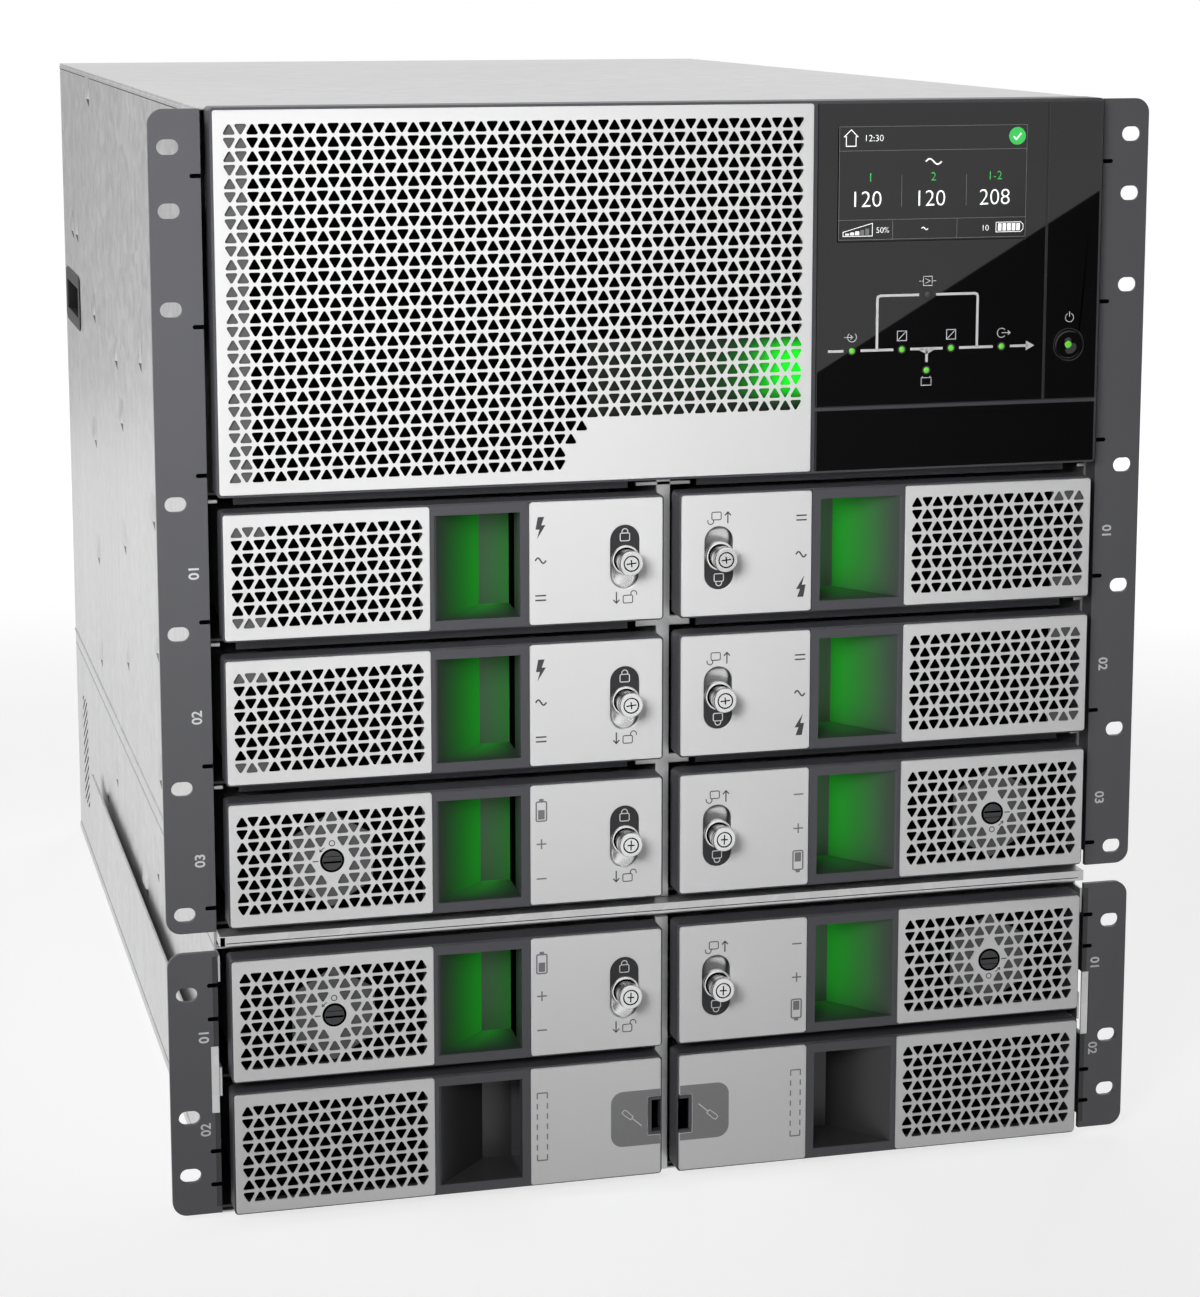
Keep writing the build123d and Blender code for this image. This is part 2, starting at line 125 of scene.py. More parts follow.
class Look(Enum):
    """The finishes of the object."""

    ZINC = "zinc_sheet"
    EAR = "ear_powder_coat"
    RAIL = "rail_paint"
    FASCIA = "fascia_moulding"
    PLATE = "plate_paint"
    GLASS = "display_glass"
    BRIGHT = "bright_turned_metal"
    BLACK = "black_moulding_and_painted_shade"
    BACKING = "grey_backing"
    CAP = "slot_cap"
    SWITCH = "switch_moulding"
    POCKET = "lit_pocket"
    PAINTED_DARK = "dark_filter"
    LIGHT = "lit_strip"
    PRINT_DARK = "dark_print"
    PRINT_PALE = "pale_print"
    PRINT_GREY = "grey_print"
    PRINT_MID = "mid_grey_print"
    SCREEN = "screen_ground"
    SCREEN_GREY = "screen_grey"
    SCREEN_WHITE = "screen_white"
    SCREEN_GREEN = "screen_green"
    LAMP = "status_lamp"
    SPENT_LAMP = "unlit_lamp"


@dataclass
class Surface:
    """A mesh in millimetres.

    Attributes:
        points: One row of X, Y and Z for each point.
        faces: Arrays of point numbers, one row for each face; an array holds faces of one size.
        glow: A value from 0 to 1 for each point, or None.
    """

    points: Array
    faces: list[Indices]
    glow: Array | None = None

    def moved(self, x: float, y: float, z: float) -> Surface:
        """The surface carried by an offset in millimetres."""
        return Surface(self.points + np.array([x, y, z]), self.faces, self.glow)

    def turned(self) -> Surface:
        """The surface turned half round about the Y axis, so X and Z change sign."""
        return Surface(self.points * np.array([-1.0, 1.0, -1.0]), self.faces, self.glow)

    def mirrored(self) -> Surface:
        """The mirror image across the middle of the object, with its faces turned back outwards."""
        return Surface(self.points * np.array([-1.0, 1.0, 1.0]), [f[:, ::-1] for f in self.faces], self.glow)

    def welded(self) -> Surface:
        """The surface with points that lie together made one, and unused points left out.

        Points are rounded to a fine lattice, and those in one lattice cell are given one number.
        """
        used = np.unique(np.concatenate([f.ravel() for f in self.faces]))
        cells = np.round(self.points[used] / WELD_STEP).astype(np.int64)
        _, first, inverse = np.unique(cells, axis=0, return_index=True, return_inverse=True)
        number = np.zeros(len(self.points), np.int64)
        number[used] = inverse.ravel()
        glow = None if self.glow is None else self.glow[used[first]]
        return Surface(self.points[used[first]], [number[f] for f in self.faces], glow)


def join(*parts: Surface) -> Surface:
    """Several surfaces as one mesh.

    Args:
        parts: The surfaces.

    Returns:
        One surface with all their points and faces.
    """
    starts = np.cumsum([0] + [len(part.points) for part in parts])
    faces = [face + start for part, start in zip(parts, starts) for face in part.faces]
    glow = None
    if any(part.glow is not None for part in parts):
        glow = np.concatenate([np.zeros(len(p.points)) if p.glow is None else p.glow for p in parts])
    return Surface(np.concatenate([part.points for part in parts]), faces, glow)


def at_depth(flat: Array, depth: float | Array) -> Array:
    """Points of the front plane, X across and Z up, put at a depth.

    Args:
        flat: Points whose last axis holds X and Z.
        depth: One depth for all, or an array that broadcasts over the points.

    Returns:
        The points with X, Y and Z on the last axis.
    """
    y = np.broadcast_to(depth, flat.shape[:-1])
    return np.stack([flat[..., 0], y, flat[..., 1]], axis=-1)


def path_of(*values: float) -> Array:
    """Points of the front plane, given as X and Z in turn."""
    return np.array(values).reshape(-1, 2)


def grid(points: Array, wrap: bool = False) -> Surface:
    """A surface given by a function on a grid: each square of neighbouring points is a face.

    Args:
        points: A rows by columns by 3 array of points.
        wrap: Whether the last column is joined to the first.

    Returns:
        The surface.
    """
    rows, columns = points.shape[:2]
    index = np.arange(rows * columns).reshape(rows, columns)
    if wrap:
        index = np.concatenate([index, index[:, :1]], axis=1)
    quads = np.stack([index[:-1, :-1], index[:-1, 1:], index[1:, 1:], index[1:, :-1]], axis=-1)
    return Surface(points.reshape(-1, 3), [quads.reshape(-1, 4)])


def lofted(rings: Array) -> Surface:
    """A closed body: rings of equal length joined by squares, the first and last filled by one face.

    Args:
        rings: A rings by points by 3 array.

    Returns:
        The closed surface.
    """
    body = grid(rings, wrap=True)
    count = rings.shape[1]
    first = np.arange(count)[None, ::-1]
    last = np.arange(count)[None, :] + count * (len(rings) - 1)
    return Surface(body.points, [*body.faces, first, last])


def edge_normals(ring: Array) -> tuple[Array, Array]:
    """The inward unit normals of the edges before and after each corner of a closed ring."""
    ahead = np.roll(ring, -1, axis=0) - ring
    ahead = ahead / np.linalg.norm(ahead, axis=1, keepdims=True)
    after = np.stack([-ahead[:, 1], ahead[:, 0]], axis=1)
    return np.roll(after, 1, axis=0), after


def inset_ring(ring: Array, distance: float) -> Array:
    """A ring moved inwards: each corner goes along the sum of its two edge normals, n1 + n2 over 1 + n1.n2.

    Args:
        ring: A counter-clockwise ring of X and Z.
        distance: How far its edges move.

    Returns:
        The smaller ring.
    """
    before, after = edge_normals(ring)
    reach = 1.0 + np.sum(before * after, axis=1, keepdims=True)
    return ring + distance * (before + after) / reach


def rounded_ring(corners: Array, radius: float | Array, steps: int) -> Array:
    """A polygon with its corners cut by arcs that touch both edges.

    Each corner's arc is a circle about the point that lies one radius inside both edges, drawn from the
    outward normal of one edge to that of the next; at a hollow corner the circle lies outside.

    Args:
        corners: The counter-clockwise corners, X and Z.
        radius: One radius, or one for each corner.
        steps: Points on each arc.

    Returns:
        The ring, steps points for each corner.
    """
    before, after = edge_normals(corners)
    start = np.arctan2(-before[:, 1], -before[:, 0])
    turn = (np.arctan2(-after[:, 1], -after[:, 0]) - start + math.pi) % (2 * math.pi) - math.pi
    size = np.sign(turn) * np.broadcast_to(radius, turn.shape)
    reach = 1.0 + np.sum(before * after, axis=1)
    centre = corners + (size / reach)[:, None] * (before + after)
    angle = start[:, None] + turn[:, None] * np.linspace(0.0, 1.0, steps)
    arc = np.stack([np.cos(angle), np.sin(angle)], axis=-1)
    return (centre[:, None, :] + size[:, None, None] * arc).reshape(-1, 2)


def rectangle(width: float, height: float, x: float = 0.0, z: float = 0.0) -> Array:
    """The counter-clockwise corners of a rectangle about a middle, from the lower left."""
    signs = np.array([[-1.0, -1.0], [1.0, -1.0], [1.0, 1.0], [-1.0, 1.0]])
    return signs * np.array([width, height]) / 2 + np.array([x, z])


def pressed_plate(ring: Array, y: float, thickness: float, chamfer: float) -> Surface:
    """A plate with a bevelled front edge: the outline is carried back through three rings.

    Args:
        ring: The counter-clockwise outline.
        y: Depth of the front face.
        thickness: Thickness of the plate.
        chamfer: Width and depth of the bevel.

    Returns:
        The closed plate.
    """
    face = at_depth(inset_ring(ring, chamfer), y)
    return lofted(np.stack([face, at_depth(ring, y + chamfer), at_depth(ring, y + thickness)]))


def printed(ring: Array, y: float = 0.0) -> Surface:
    """A patch of print with this outline on a surface at a depth."""
    return pressed_plate(ring, y - PRINT, 2 * PRINT, 0.02)


def lathe(profile: Pairs, x: float, z: float, segments: int = 48, y: float = 0.0) -> Surface:
    """A turned body: each radius and depth of the profile is swept round an axis along Y.

    Args:
        profile: Radius and depth of each ring, from the front to the back.
        x: Place of the axis.
        z: Height of the axis.
        segments: Points round each ring.
        y: Depth that the profile's own depths count from.

    Returns:
        The closed body.
    """
    radius, depth = np.array(profile).T
    angle = np.linspace(0.0, 2 * math.pi, segments, endpoint=False)
    circle = np.stack([np.cos(angle), np.sin(angle)], axis=-1)
    flat = np.array([x, z]) + radius[:, None, None] * circle
    return lofted(at_depth(flat, y + depth[:, None]))


def arc(x: float, z: float, radius: float, start: float, end: float, steps: int = 16) -> Array:
    """Points on a circle between two angles in degrees."""
    angle = np.radians(np.linspace(start, end, steps))
    return np.array([x, z]) + radius * np.stack([np.cos(angle), np.sin(angle)], axis=-1)


def ribbon(path: Array, width: float, y: float, height: float, closed: bool = False) -> Surface:
    """A raised line: a flat rectangle carried along a path in the front plane.

    Each point moves half the width to both sides along the mean of its edge normals, and the four corners
    of the rectangle, front and back, are joined from point to point.

    Args:
        path: X and Z of the points.
        width: Width of the line.
        y: Depth of the surface that it lies on.
        height: How far it stands proud.
        closed: Whether the path returns to its start.

    Returns:
        The closed line.
    """
    ends = np.concatenate([path, path[:1]]) if closed else path
    step = np.diff(ends, axis=0)
    step = step / np.linalg.norm(step, axis=1, keepdims=True)
    normal = np.stack([-step[:, 1], step[:, 0]], axis=1)
    if closed:
        before, after = np.roll(normal, 1, axis=0), normal
    else:
        before, after = np.concatenate([normal[:1], normal]), np.concatenate([normal, normal[-1:]])
    shift = width / 2 * (before + after) / (1.0 + np.sum(before * after, axis=1, keepdims=True))
    left, right = path + shift, path - shift
    rows = np.stack([
        at_depth(left, y), at_depth(left, y - height), at_depth(right, y - height), at_depth(right, y),
    ], axis=1)
    if closed:
        return grid(np.concatenate([rows, rows[:1]]), wrap=True).welded()
    return lofted(rows)


def digits(text: str, height: float, y: float, proud: float, weight: float = 0.0) -> Surface:
    """Plain digits as a raised mesh in the front plane, centred on their own box.

    Args:
        text: The digits and signs.
        height: Their height.
        y: Depth of the surface that they lie on.
        proud: How far they stand proud of it.
        weight: How much fatter the strokes are, as a share of the size.

    Returns:
        The surface; the outline's own X becomes X and its Y becomes Z.
    """
    curve = bpy.data.curves.new("digits", "FONT")
    curve.body = text
    curve.resolution_u = 4
    curve.extrude = 0.5
    curve.offset = weight
    holder = bpy.data.objects.new("digits", curve)
    mesh = bpy.data.meshes.new_from_object(holder)
    mesh.calc_loop_triangles()
    flat = np.zeros(len(mesh.vertices) * 3)
    mesh.vertices.foreach_get("co", flat)
    corners = np.zeros(len(mesh.loop_triangles) * 3, np.int64)
    mesh.loop_triangles.foreach_get("vertices", corners)
    bpy.data.objects.remove(holder)
    bpy.data.curves.remove(curve)
    bpy.data.meshes.remove(mesh)
    outline = flat.reshape(-1, 3)
    low, high = outline.min(axis=0), outline.max(axis=0)
    outline = (outline - (low + high) / 2) / (high[1] - low[1]) * height
    front = outline[:, 2] > 0
    depth = np.where(front, y - proud, y)
    return Surface(at_depth(outline[:, :2], depth), [corners.reshape(-1, 3)]).welded()


def turned_quarter(surface: Surface, clockwise: bool) -> Surface:
    """A front plane surface turned a quarter turn about its own origin, seen from the front."""
    x, y, z = surface.points.T
    points = np.stack([z, y, -x], axis=1) if clockwise else np.stack([-z, y, x], axis=1)
    return Surface(points, surface.faces, surface.glow)


class Nodes:
    """Adds nodes to one tree and links them."""

    def __init__(self, tree: Tree) -> None:
        """Keep the tree that is built."""
        self.tree = tree

    def add(self, kind: str, **settings: object) -> Node:
        """A new node.

        Args:
            kind: The node's type name.
            settings: Its properties.

        Returns:
            The node.
        """
        node = self.tree.nodes.new(kind)
        for name, value in settings.items():
            setattr(node, name, value)
        return node

    def link(self, source: Socket, target: Socket) -> None:
        """Join an output to an input."""
        self.tree.links.new(source, target)

    def put(self, target: Socket, value: object) -> None:
        """Link a socket to an input, or set the input to a number or a colour."""
        if isinstance(value, Socket):
            self.link(value, target)
        elif isinstance(value, tuple):
            target.default_value = (*value, 1.0)
        else:
            target.default_value = value

    def maths(self, operation: str, *values: object) -> Socket:
        """The result of a sum.

        Args:
            operation: The name of the operation.
            values: A socket or a number for each of its inputs.

        Returns:
            The socket with the result.
        """
        node = self.add("ShaderNodeMath", operation=operation)
        for target, value in zip(node.inputs, values):
            self.put(target, value)
        return node.outputs[0]

    def blend(self, mode: str, amount: object, first: object, second: object) -> Socket:
        """The mix of two colours: inputs 6 and 7 and output 2 are the node's sockets for colours.

        Args:
            mode: The blend mode.
            amount: A socket or a number from 0 to 1.
            first: The colour below, a socket or a colour.
            second: The colour above, a socket or a colour.

        Returns:
            The socket with the mix.
        """
        node = self.add("ShaderNodeMix", data_type="RGBA", blend_type=mode)
        for number, value in ((0, amount), (6, first), (7, second)):
            self.put(node.inputs[number], value)
        return node.outputs[2]

    def noise(self, vector: Socket, scale: object, detail: float) -> Socket:
        """Noise from 0 to 1 on a vector, at a scale that is a socket or a number."""
        node = self.add("ShaderNodeTexNoise")
        for name, value in (("Vector", vector), ("Scale", scale), ("Detail", detail)):
            self.put(node.inputs[name], value)
        return node.outputs[0]

    def normal(self, axis: int) -> Socket:
        """One part of the surface's normal, 0 for X to 2 for Z."""
        shape = self.add("ShaderNodeNewGeometry")
        part = self.add("ShaderNodeSeparateXYZ")
        self.link(shape.outputs["Normal"], part.inputs[0])
        return part.outputs[axis]


class Effects:
    """Shader effects that several finishes share, each a node group that is built once."""

    def __init__(self) -> None:
        """Build the groups."""
        self.tone = self._tone()
        self.grain = self._grain()
        self.streaks = self._streaks()
        self.spangle = self._spangle()
        self.dust = self._dust()
        self.painted_reflection = self._painted_reflection()

    @staticmethod
    def _start(name: str, inputs: dict[str, float | None], output: str) -> tuple[Nodes, Node, Node]:
        """A new group with its sockets.

        Args:
            name: The group's name.
            inputs: Names of its inputs with their defaults; None makes a vector.
            output: Name of its one output.

        Returns:
            The builder, the input node and the output node.
        """
        tree = bpy.data.node_groups.new(name, "ShaderNodeTree")
        for label, value in inputs.items():
            kind = "NodeSocketVector" if value is None else "NodeSocketFloat"
            socket = tree.interface.new_socket(name=label, in_out="INPUT", socket_type=kind)
            if value is not None:
                socket.default_value = value
        tree.interface.new_socket(name=output, in_out="OUTPUT", socket_type="NodeSocketFloat")
        nodes = Nodes(tree)
        return nodes, nodes.add("NodeGroupInput"), nodes.add("NodeGroupOutput")

    @staticmethod
    def _swung(nodes: Nodes, noise: Socket, swing: Socket) -> Socket:
        """A tone about 1: one plus the swing times twice the noise less one."""
        centred = nodes.maths("MULTIPLY_ADD", noise, 2.0, -1.0)
        return nodes.maths("ADD", nodes.maths("MULTIPLY", centred, swing), 1.0)

    def _tone(self) -> Tree:
        """Slow change of tone about 1, on noise."""
        sockets = {"Vector": None, "Scale": 20.0, "Swing": 0.05}
        nodes, given, result = self._start("SurfaceTone", sockets, "Tone")
        noise = nodes.noise(given.outputs["Vector"], given.outputs["Scale"], 4.0)
        nodes.link(self._swung(nodes, noise, given.outputs["Swing"]), result.inputs["Tone"])
        return nodes.tree

    def _grain(self) -> Tree:
        """Fine moulded or sprayed grain as a height from 0 to 1."""
        nodes, given, result = self._start("FineGrain", {"Vector": None, "Scale": 900.0}, "Height")
        noise = nodes.noise(given.outputs["Vector"], given.outputs["Scale"], 2.0)
        nodes.link(noise, result.inputs["Height"])
        return nodes.tree

    def _streaks(self) -> Tree:
        """Rolling marks: the same change of tone on a space squeezed along Z, so that it runs upright."""
        sockets = {"Vector": None, "Scale": 60.0, "Swing": 0.05}
        nodes, given, result = self._start("RollingStreaks", sockets, "Tone")
        squeeze = nodes.add("ShaderNodeVectorMath", operation="MULTIPLY")
        squeeze.inputs[1].default_value = (1.0, 1.0, 0.04)
        nodes.link(given.outputs["Vector"], squeeze.inputs[0])
        noise = nodes.noise(squeeze.outputs[0], given.outputs["Scale"], 3.0)
        nodes.link(self._swung(nodes, noise, given.outputs["Swing"]), result.inputs["Tone"])
        return nodes.tree

    def _spangle(self) -> Tree:
        """Zinc crystals: a random value from 0 to 1 for each cell of a scattered pattern."""
        nodes, given, result = self._start("ZincSpangle", {"Vector": None, "Scale": 160.0}, "Value")
        cells = nodes.add("ShaderNodeTexVoronoi")
        nodes.link(given.outputs["Vector"], cells.inputs["Vector"])
        nodes.link(given.outputs["Scale"], cells.inputs["Scale"])
        part = nodes.add("ShaderNodeSeparateColor")
        nodes.link(cells.outputs["Color"], part.inputs[0])
        nodes.link(part.outputs[0], result.inputs["Value"])
        return nodes.tree

    def _dust(self) -> Tree:
        """Dust on what faces up: the upward part of the normal times noise times the amount."""
        nodes, given, result = self._start("DustFilm", {"Vector": None, "Amount": 0.1}, "Mask")
        upward = nodes.maths("MAXIMUM", nodes.normal(2), 0.0)
        noise = nodes.noise(given.outputs["Vector"], 35.0, 2.0)
        spread = nodes.maths("MULTIPLY", upward, noise)
        nodes.link(nodes.maths("MULTIPLY", spread, given.outputs["Amount"]), result.inputs["Mask"])
        return nodes.tree

    def _painted_reflection(self) -> Tree:
        """Painted dark reflection on bright metal: one less a depth times a bell about normals that lean to
        the left.

        The bell is e to minus the square of the distance from a leftward part of 0.72, over 0.22.
        """
        nodes, given, result = self._start("PaintedDarkReflection", {"Vector": None, "Depth": 0.8}, "Tone")
        away = nodes.maths("DIVIDE", nodes.maths("ADD", nodes.normal(0), 0.72), 0.22)
        power = nodes.maths("MULTIPLY", nodes.maths("MULTIPLY", away, away), -1.0)
        bell = nodes.maths("POWER", math.e, power)
        depth = nodes.maths("MULTIPLY", bell, given.outputs["Depth"])
        nodes.link(nodes.maths("SUBTRACT", 1.0, depth), result.inputs["Tone"])
        return nodes.tree


class Recipe:
    """One material with its shader and the vector that its patterns read."""

    def __init__(self, look: Look, effects: Effects) -> None:
        """Start a material named for its look, with the shared effects at hand."""
        self.effects = effects
        self.material = bpy.data.materials.new(look.value)
        self.material.use_nodes = True
        self.nodes = Nodes(self.material.node_tree)
        self.shader = self.material.node_tree.nodes["Principled BSDF"]
        self.place = self.nodes.add("ShaderNodeTexCoord").outputs["Object"]

    def effect(self, group: Tree, **values: float) -> Socket:
        """Place a shared effect.

        Args:
            group: The effect's node group.
            values: Its inputs by name.

        Returns:
            Its output.
        """
        node = self.nodes.add("ShaderNodeGroup", node_tree=group)
        self.nodes.link(self.place, node.inputs["Vector"])
        for name, value in values.items():
            node.inputs[name].default_value = value
        return node.outputs[0]

    def toned(self, colour: object, scale: float, swing: float) -> Socket:
        """A colour times the slow change of tone."""
        tone = self.effect(self.effects.tone, Scale=scale, Swing=swing)
        return self.nodes.blend("MULTIPLY", 1.0, colour, tone)

    def smear(self, roughness: float, scale: float, swing: float) -> None:
        """Let the roughness wander about its mean."""
        tone = self.effect(self.effects.tone, Scale=scale, Swing=swing)
        self.feed(self.nodes.maths("MULTIPLY", tone, roughness), "Roughness")

    def feed(self, source: Socket, name: str) -> None:
        """Link a varying value to an input of the shader."""
        self.nodes.link(source, self.shader.inputs[name])

    def constants(self, **values: object) -> None:
        """Set plain values on the shader's own sockets, spaces in names written as underscores."""
        for name, value in values.items():
            self.shader.inputs[name.replace("_", " ")].default_value = value

    def bump(self, height: Socket, distance: float) -> None:
        """Give the surface a relief of this many metres."""
        node = self.nodes.add("ShaderNodeBump")
        node.inputs["Distance"].default_value = distance
        self.nodes.link(height, node.inputs["Height"])
        self.feed(node.outputs[0], "Normal")


@dataclass(frozen=True)
class CoatFinish:
    """Paint or moulded plastic: a colour with slow tone, fine grain and a little dust.

    Attributes:
        look: The finish's name.
        colour: Linear base colour.
        roughness: Mean roughness.
        metallic: Share of metal in the shine.
        swing: How much the tone wanders.
        grain_scale: Grains per metre.
        grain_height: Relief of the grain in metres.
        dust: Share of dust on upward faces.
        shine: Level of the mirror shine, 0.5 for common paint.
    """

    look: Look
    colour: Colour
    roughness: float
    metallic: float = 0.0
    swing: float = 0.05
    grain_scale: float = 1400.0
    grain_height: float = 0.00002
    dust: float = 0.06
    shine: float = 0.5

    def make(self, effects: Effects) -> Material:
        """The finish as a material."""
        recipe = Recipe(self.look, effects)
        toned = recipe.toned(self.colour, 14.0, self.swing)
        dust = recipe.effect(effects.dust, Amount=self.dust)
        recipe.feed(recipe.nodes.blend("MIX", dust, toned, DUST), "Base Color")
        recipe.smear(self.roughness, 45.0, self.swing * 2)
        recipe.bump(recipe.effect(effects.grain, Scale=self.grain_scale), self.grain_height)
        recipe.constants(Metallic=self.metallic, Specular_IOR_Level=self.shine)
        return recipe.material


@dataclass(frozen=True)
class ZincFinish:
    """Zinc-coated sheet: crystals, upright rolling marks and a soft metal shine.

    Attributes:
        look: The finish's name.
        dark: Linear colour of the darker crystals.
        pale: Linear colour of the paler crystals.
        roughness: Least roughness, that of the darker crystals.
        metallic: Share of metal in the shine.
    """

    look: Look
    dark: Colour
    pale: Colour
    roughness: float
    metallic: float = 0.75

    def make(self, effects: Effects) -> Material:
        """The finish as a material."""
        recipe = Recipe(self.look, effects)
        crystal = recipe.effect(effects.spangle, Scale=140.0)
        streak_and_reflection = recipe.effect(effects.streaks, Scale=70.0, Swing=0.08)
        base = recipe.nodes.blend("MIX", crystal, self.dark, self.pale)
        base = recipe.toned(recipe.nodes.blend("MULTIPLY", 1.0, base, streak_and_reflection), 5.0, 0.06)
        dust = recipe.effect(effects.dust, Amount=0.05)
        recipe.feed(recipe.nodes.blend("MIX", dust, base, PALE_DUST), "Base Color")
        recipe.feed(recipe.nodes.maths("MULTIPLY_ADD", crystal, 0.10, self.roughness), "Roughness")
        recipe.bump(recipe.effect(effects.grain, Scale=700.0), 0.00001)
        recipe.constants(Metallic=self.metallic)
        return recipe.material


@dataclass(frozen=True)
class TurnedFinish:
    """Plated and turned metal with a faint wandering polish and a painted dark reflection where the normals
    lean to the left.

    Attributes:
        look: The finish's name.
        colour: Linear colour of the metal.
        roughness: Mean roughness.
        streak_and_reflection: How dark the painted reflection is, from 0 to 1.
        metallic: Share of metal in the shine.
    """

    look: Look
    colour: Colour
    roughness: float
    streak_and_reflection: float
    metallic: float = 0.75

    def make(self, effects: Effects) -> Material:
        """The finish as a material."""
        recipe = Recipe(self.look, effects)
        toned = recipe.toned(self.colour, 120.0, 0.015)
        # Painted dark reflection: the metal's colour darkened where its normal leans to the left
        streak_and_reflection = recipe.effect(effects.painted_reflection, Depth=self.streak_and_reflection)
        recipe.feed(recipe.nodes.blend("MULTIPLY", 1.0, toned, streak_and_reflection), "Base Color")
        recipe.smear(self.roughness, 200.0, 0.04)
        recipe.constants(Metallic=self.metallic)
        return recipe.material


@dataclass(frozen=True)
class GlassFinish:
    """Black gloss glass with wiped smears that show only in its shine.

    Attributes:
        look: The finish's name.
        colour: Linear colour below the gloss.
        roughness: Mean roughness.
    """

    look: Look
    colour: Colour
    roughness: float

    def make(self, effects: Effects) -> Material:
        """The finish as a material."""
        recipe = Recipe(self.look, effects)
        recipe.feed(recipe.toned(self.colour, 9.0, 0.12), "Base Color")
        recipe.smear(self.roughness, 30.0, 0.5)
        return recipe.material


@dataclass(frozen=True)
class GlowFinish:
    """A moulding lit from inside: its glow value leads from an unlit to a lit colour and its light.

    Attributes:
        look: The finish's name.
        unlit: Linear colour where the glow is 0.
        lit: Linear colour where the glow is 1.
        light: Strength of the light at full glow.
        roughness: Roughness of the moulding.
    """

    look: Look
    unlit: Colour
    lit: Colour
    light: float
    roughness: float

    def make(self, effects: Effects) -> Material:
        """The finish as a material."""
        recipe = Recipe(self.look, effects)
        value = recipe.nodes.add("ShaderNodeAttribute", attribute_name="glow").outputs["Fac"]
        base = recipe.nodes.blend("MIX", value, self.unlit, self.lit)
        recipe.feed(recipe.toned(base, 60.0, 0.08), "Base Color")
        recipe.feed(recipe.nodes.blend("MIX", value, NO_LIGHT, self.lit), "Emission Color")
        recipe.bump(recipe.effect(effects.grain, Scale=1500.0), 0.00001)
        recipe.constants(Emission_Strength=self.light, Roughness=self.roughness)
        return recipe.material


@dataclass(frozen=True)
class InkFinish:
    """Print or a lit sign: a colour that wavers slightly, with its own light if it is lit.

    Attributes:
        look: The finish's name.
        colour: Linear colour.
        light: Strength of its light.
        roughness: Roughness of the ink.
    """

    look: Look
    colour: Colour
    light: float = 0.0
    roughness: float = 0.45

    def make(self, effects: Effects) -> Material:
        """The finish as a material."""
        recipe = Recipe(self.look, effects)
        toned = recipe.toned(self.colour, 400.0, 0.05)
        recipe.feed(toned, "Base Color")
        if self.light > 0:
            recipe.feed(toned, "Emission Color")
        recipe.constants(Emission_Strength=self.light, Roughness=self.roughness)
        return recipe.material


FINISHES = (
    ZincFinish(Look.ZINC, (0.61, 0.61, 0.615), (0.71, 0.71, 0.71), 0.36),
    CoatFinish(Look.EAR, (0.098, 0.098, 0.107), 0.42, grain_scale=900.0, grain_height=0.00003),
    # Dark rail paint of shelves and slats; also laid as painted shade on the ears' bent edges and in the
    # pockets
    CoatFinish(Look.RAIL, (0.030, 0.030, 0.032), 0.36),
    CoatFinish(Look.FASCIA, (0.066, 0.066, 0.075), 0.44, grain_scale=1800.0),
    CoatFinish(
        Look.PLATE, (0.80, 0.80, 0.80), 0.46, metallic=0.05, swing=0.012, grain_height=0.000008, dust=0.0
    ),
    GlassFinish(Look.GLASS, (0.0065, 0.0065, 0.007), 0.012),
    TurnedFinish(Look.BRIGHT, (0.84, 0.84, 0.845), 0.24, 0.88),
    # Black moulding and dark joints; also laid as painted shade in the tabs' mouths and as a painted shadow
    # line under the cover's lip
    CoatFinish(Look.BLACK, (0.012, 0.012, 0.013), 0.42),
    CoatFinish(Look.BACKING, (0.105, 0.105, 0.108), 0.6),
    CoatFinish(Look.CAP, (0.034, 0.034, 0.036), 0.5, shine=0.25),
    CoatFinish(Look.SWITCH, (0.050, 0.050, 0.054), 0.44, shine=0.4),
    # Black with no shine, laid as painted shade behind holes and in slots, gaps, notches, creases and the
    # pocket, and as the knob's painted dark reflection
    CoatFinish(Look.PAINTED_DARK, (0.0012, 0.0012, 0.0013), 0.9, dust=0.0, shine=0.0),
    GlowFinish(Look.POCKET, (0.028, 0.040, 0.032), (0.012, 0.235, 0.016), 0.55, 0.42),
    GlowFinish(Look.LIGHT, (0.004, 0.006, 0.004), (0.005, 0.62, 0.015), 0.9, 0.6),
    InkFinish(Look.PRINT_DARK, (0.045, 0.045, 0.047)),
    InkFinish(Look.PRINT_PALE, (0.74, 0.74, 0.75)),
    InkFinish(Look.PRINT_GREY, (0.20, 0.20, 0.205)),
    InkFinish(Look.PRINT_MID, (0.26, 0.26, 0.265)),
    InkFinish(Look.SCREEN, (0.010, 0.010, 0.011), 0.0, 0.10),
    InkFinish(Look.SCREEN_GREY, (0.12, 0.12, 0.12), 0.7),
    InkFinish(Look.SCREEN_WHITE, (0.80, 0.80, 0.80), 0.85),
    InkFinish(Look.SCREEN_GREEN, (0.05, 0.52, 0.10), 0.5),
    InkFinish(Look.LAMP, (0.10, 0.50, 0.03), 0.6, 0.2),
    InkFinish(Look.SPENT_LAMP, (0.055, 0.055, 0.055), 0.0, 0.3),
)


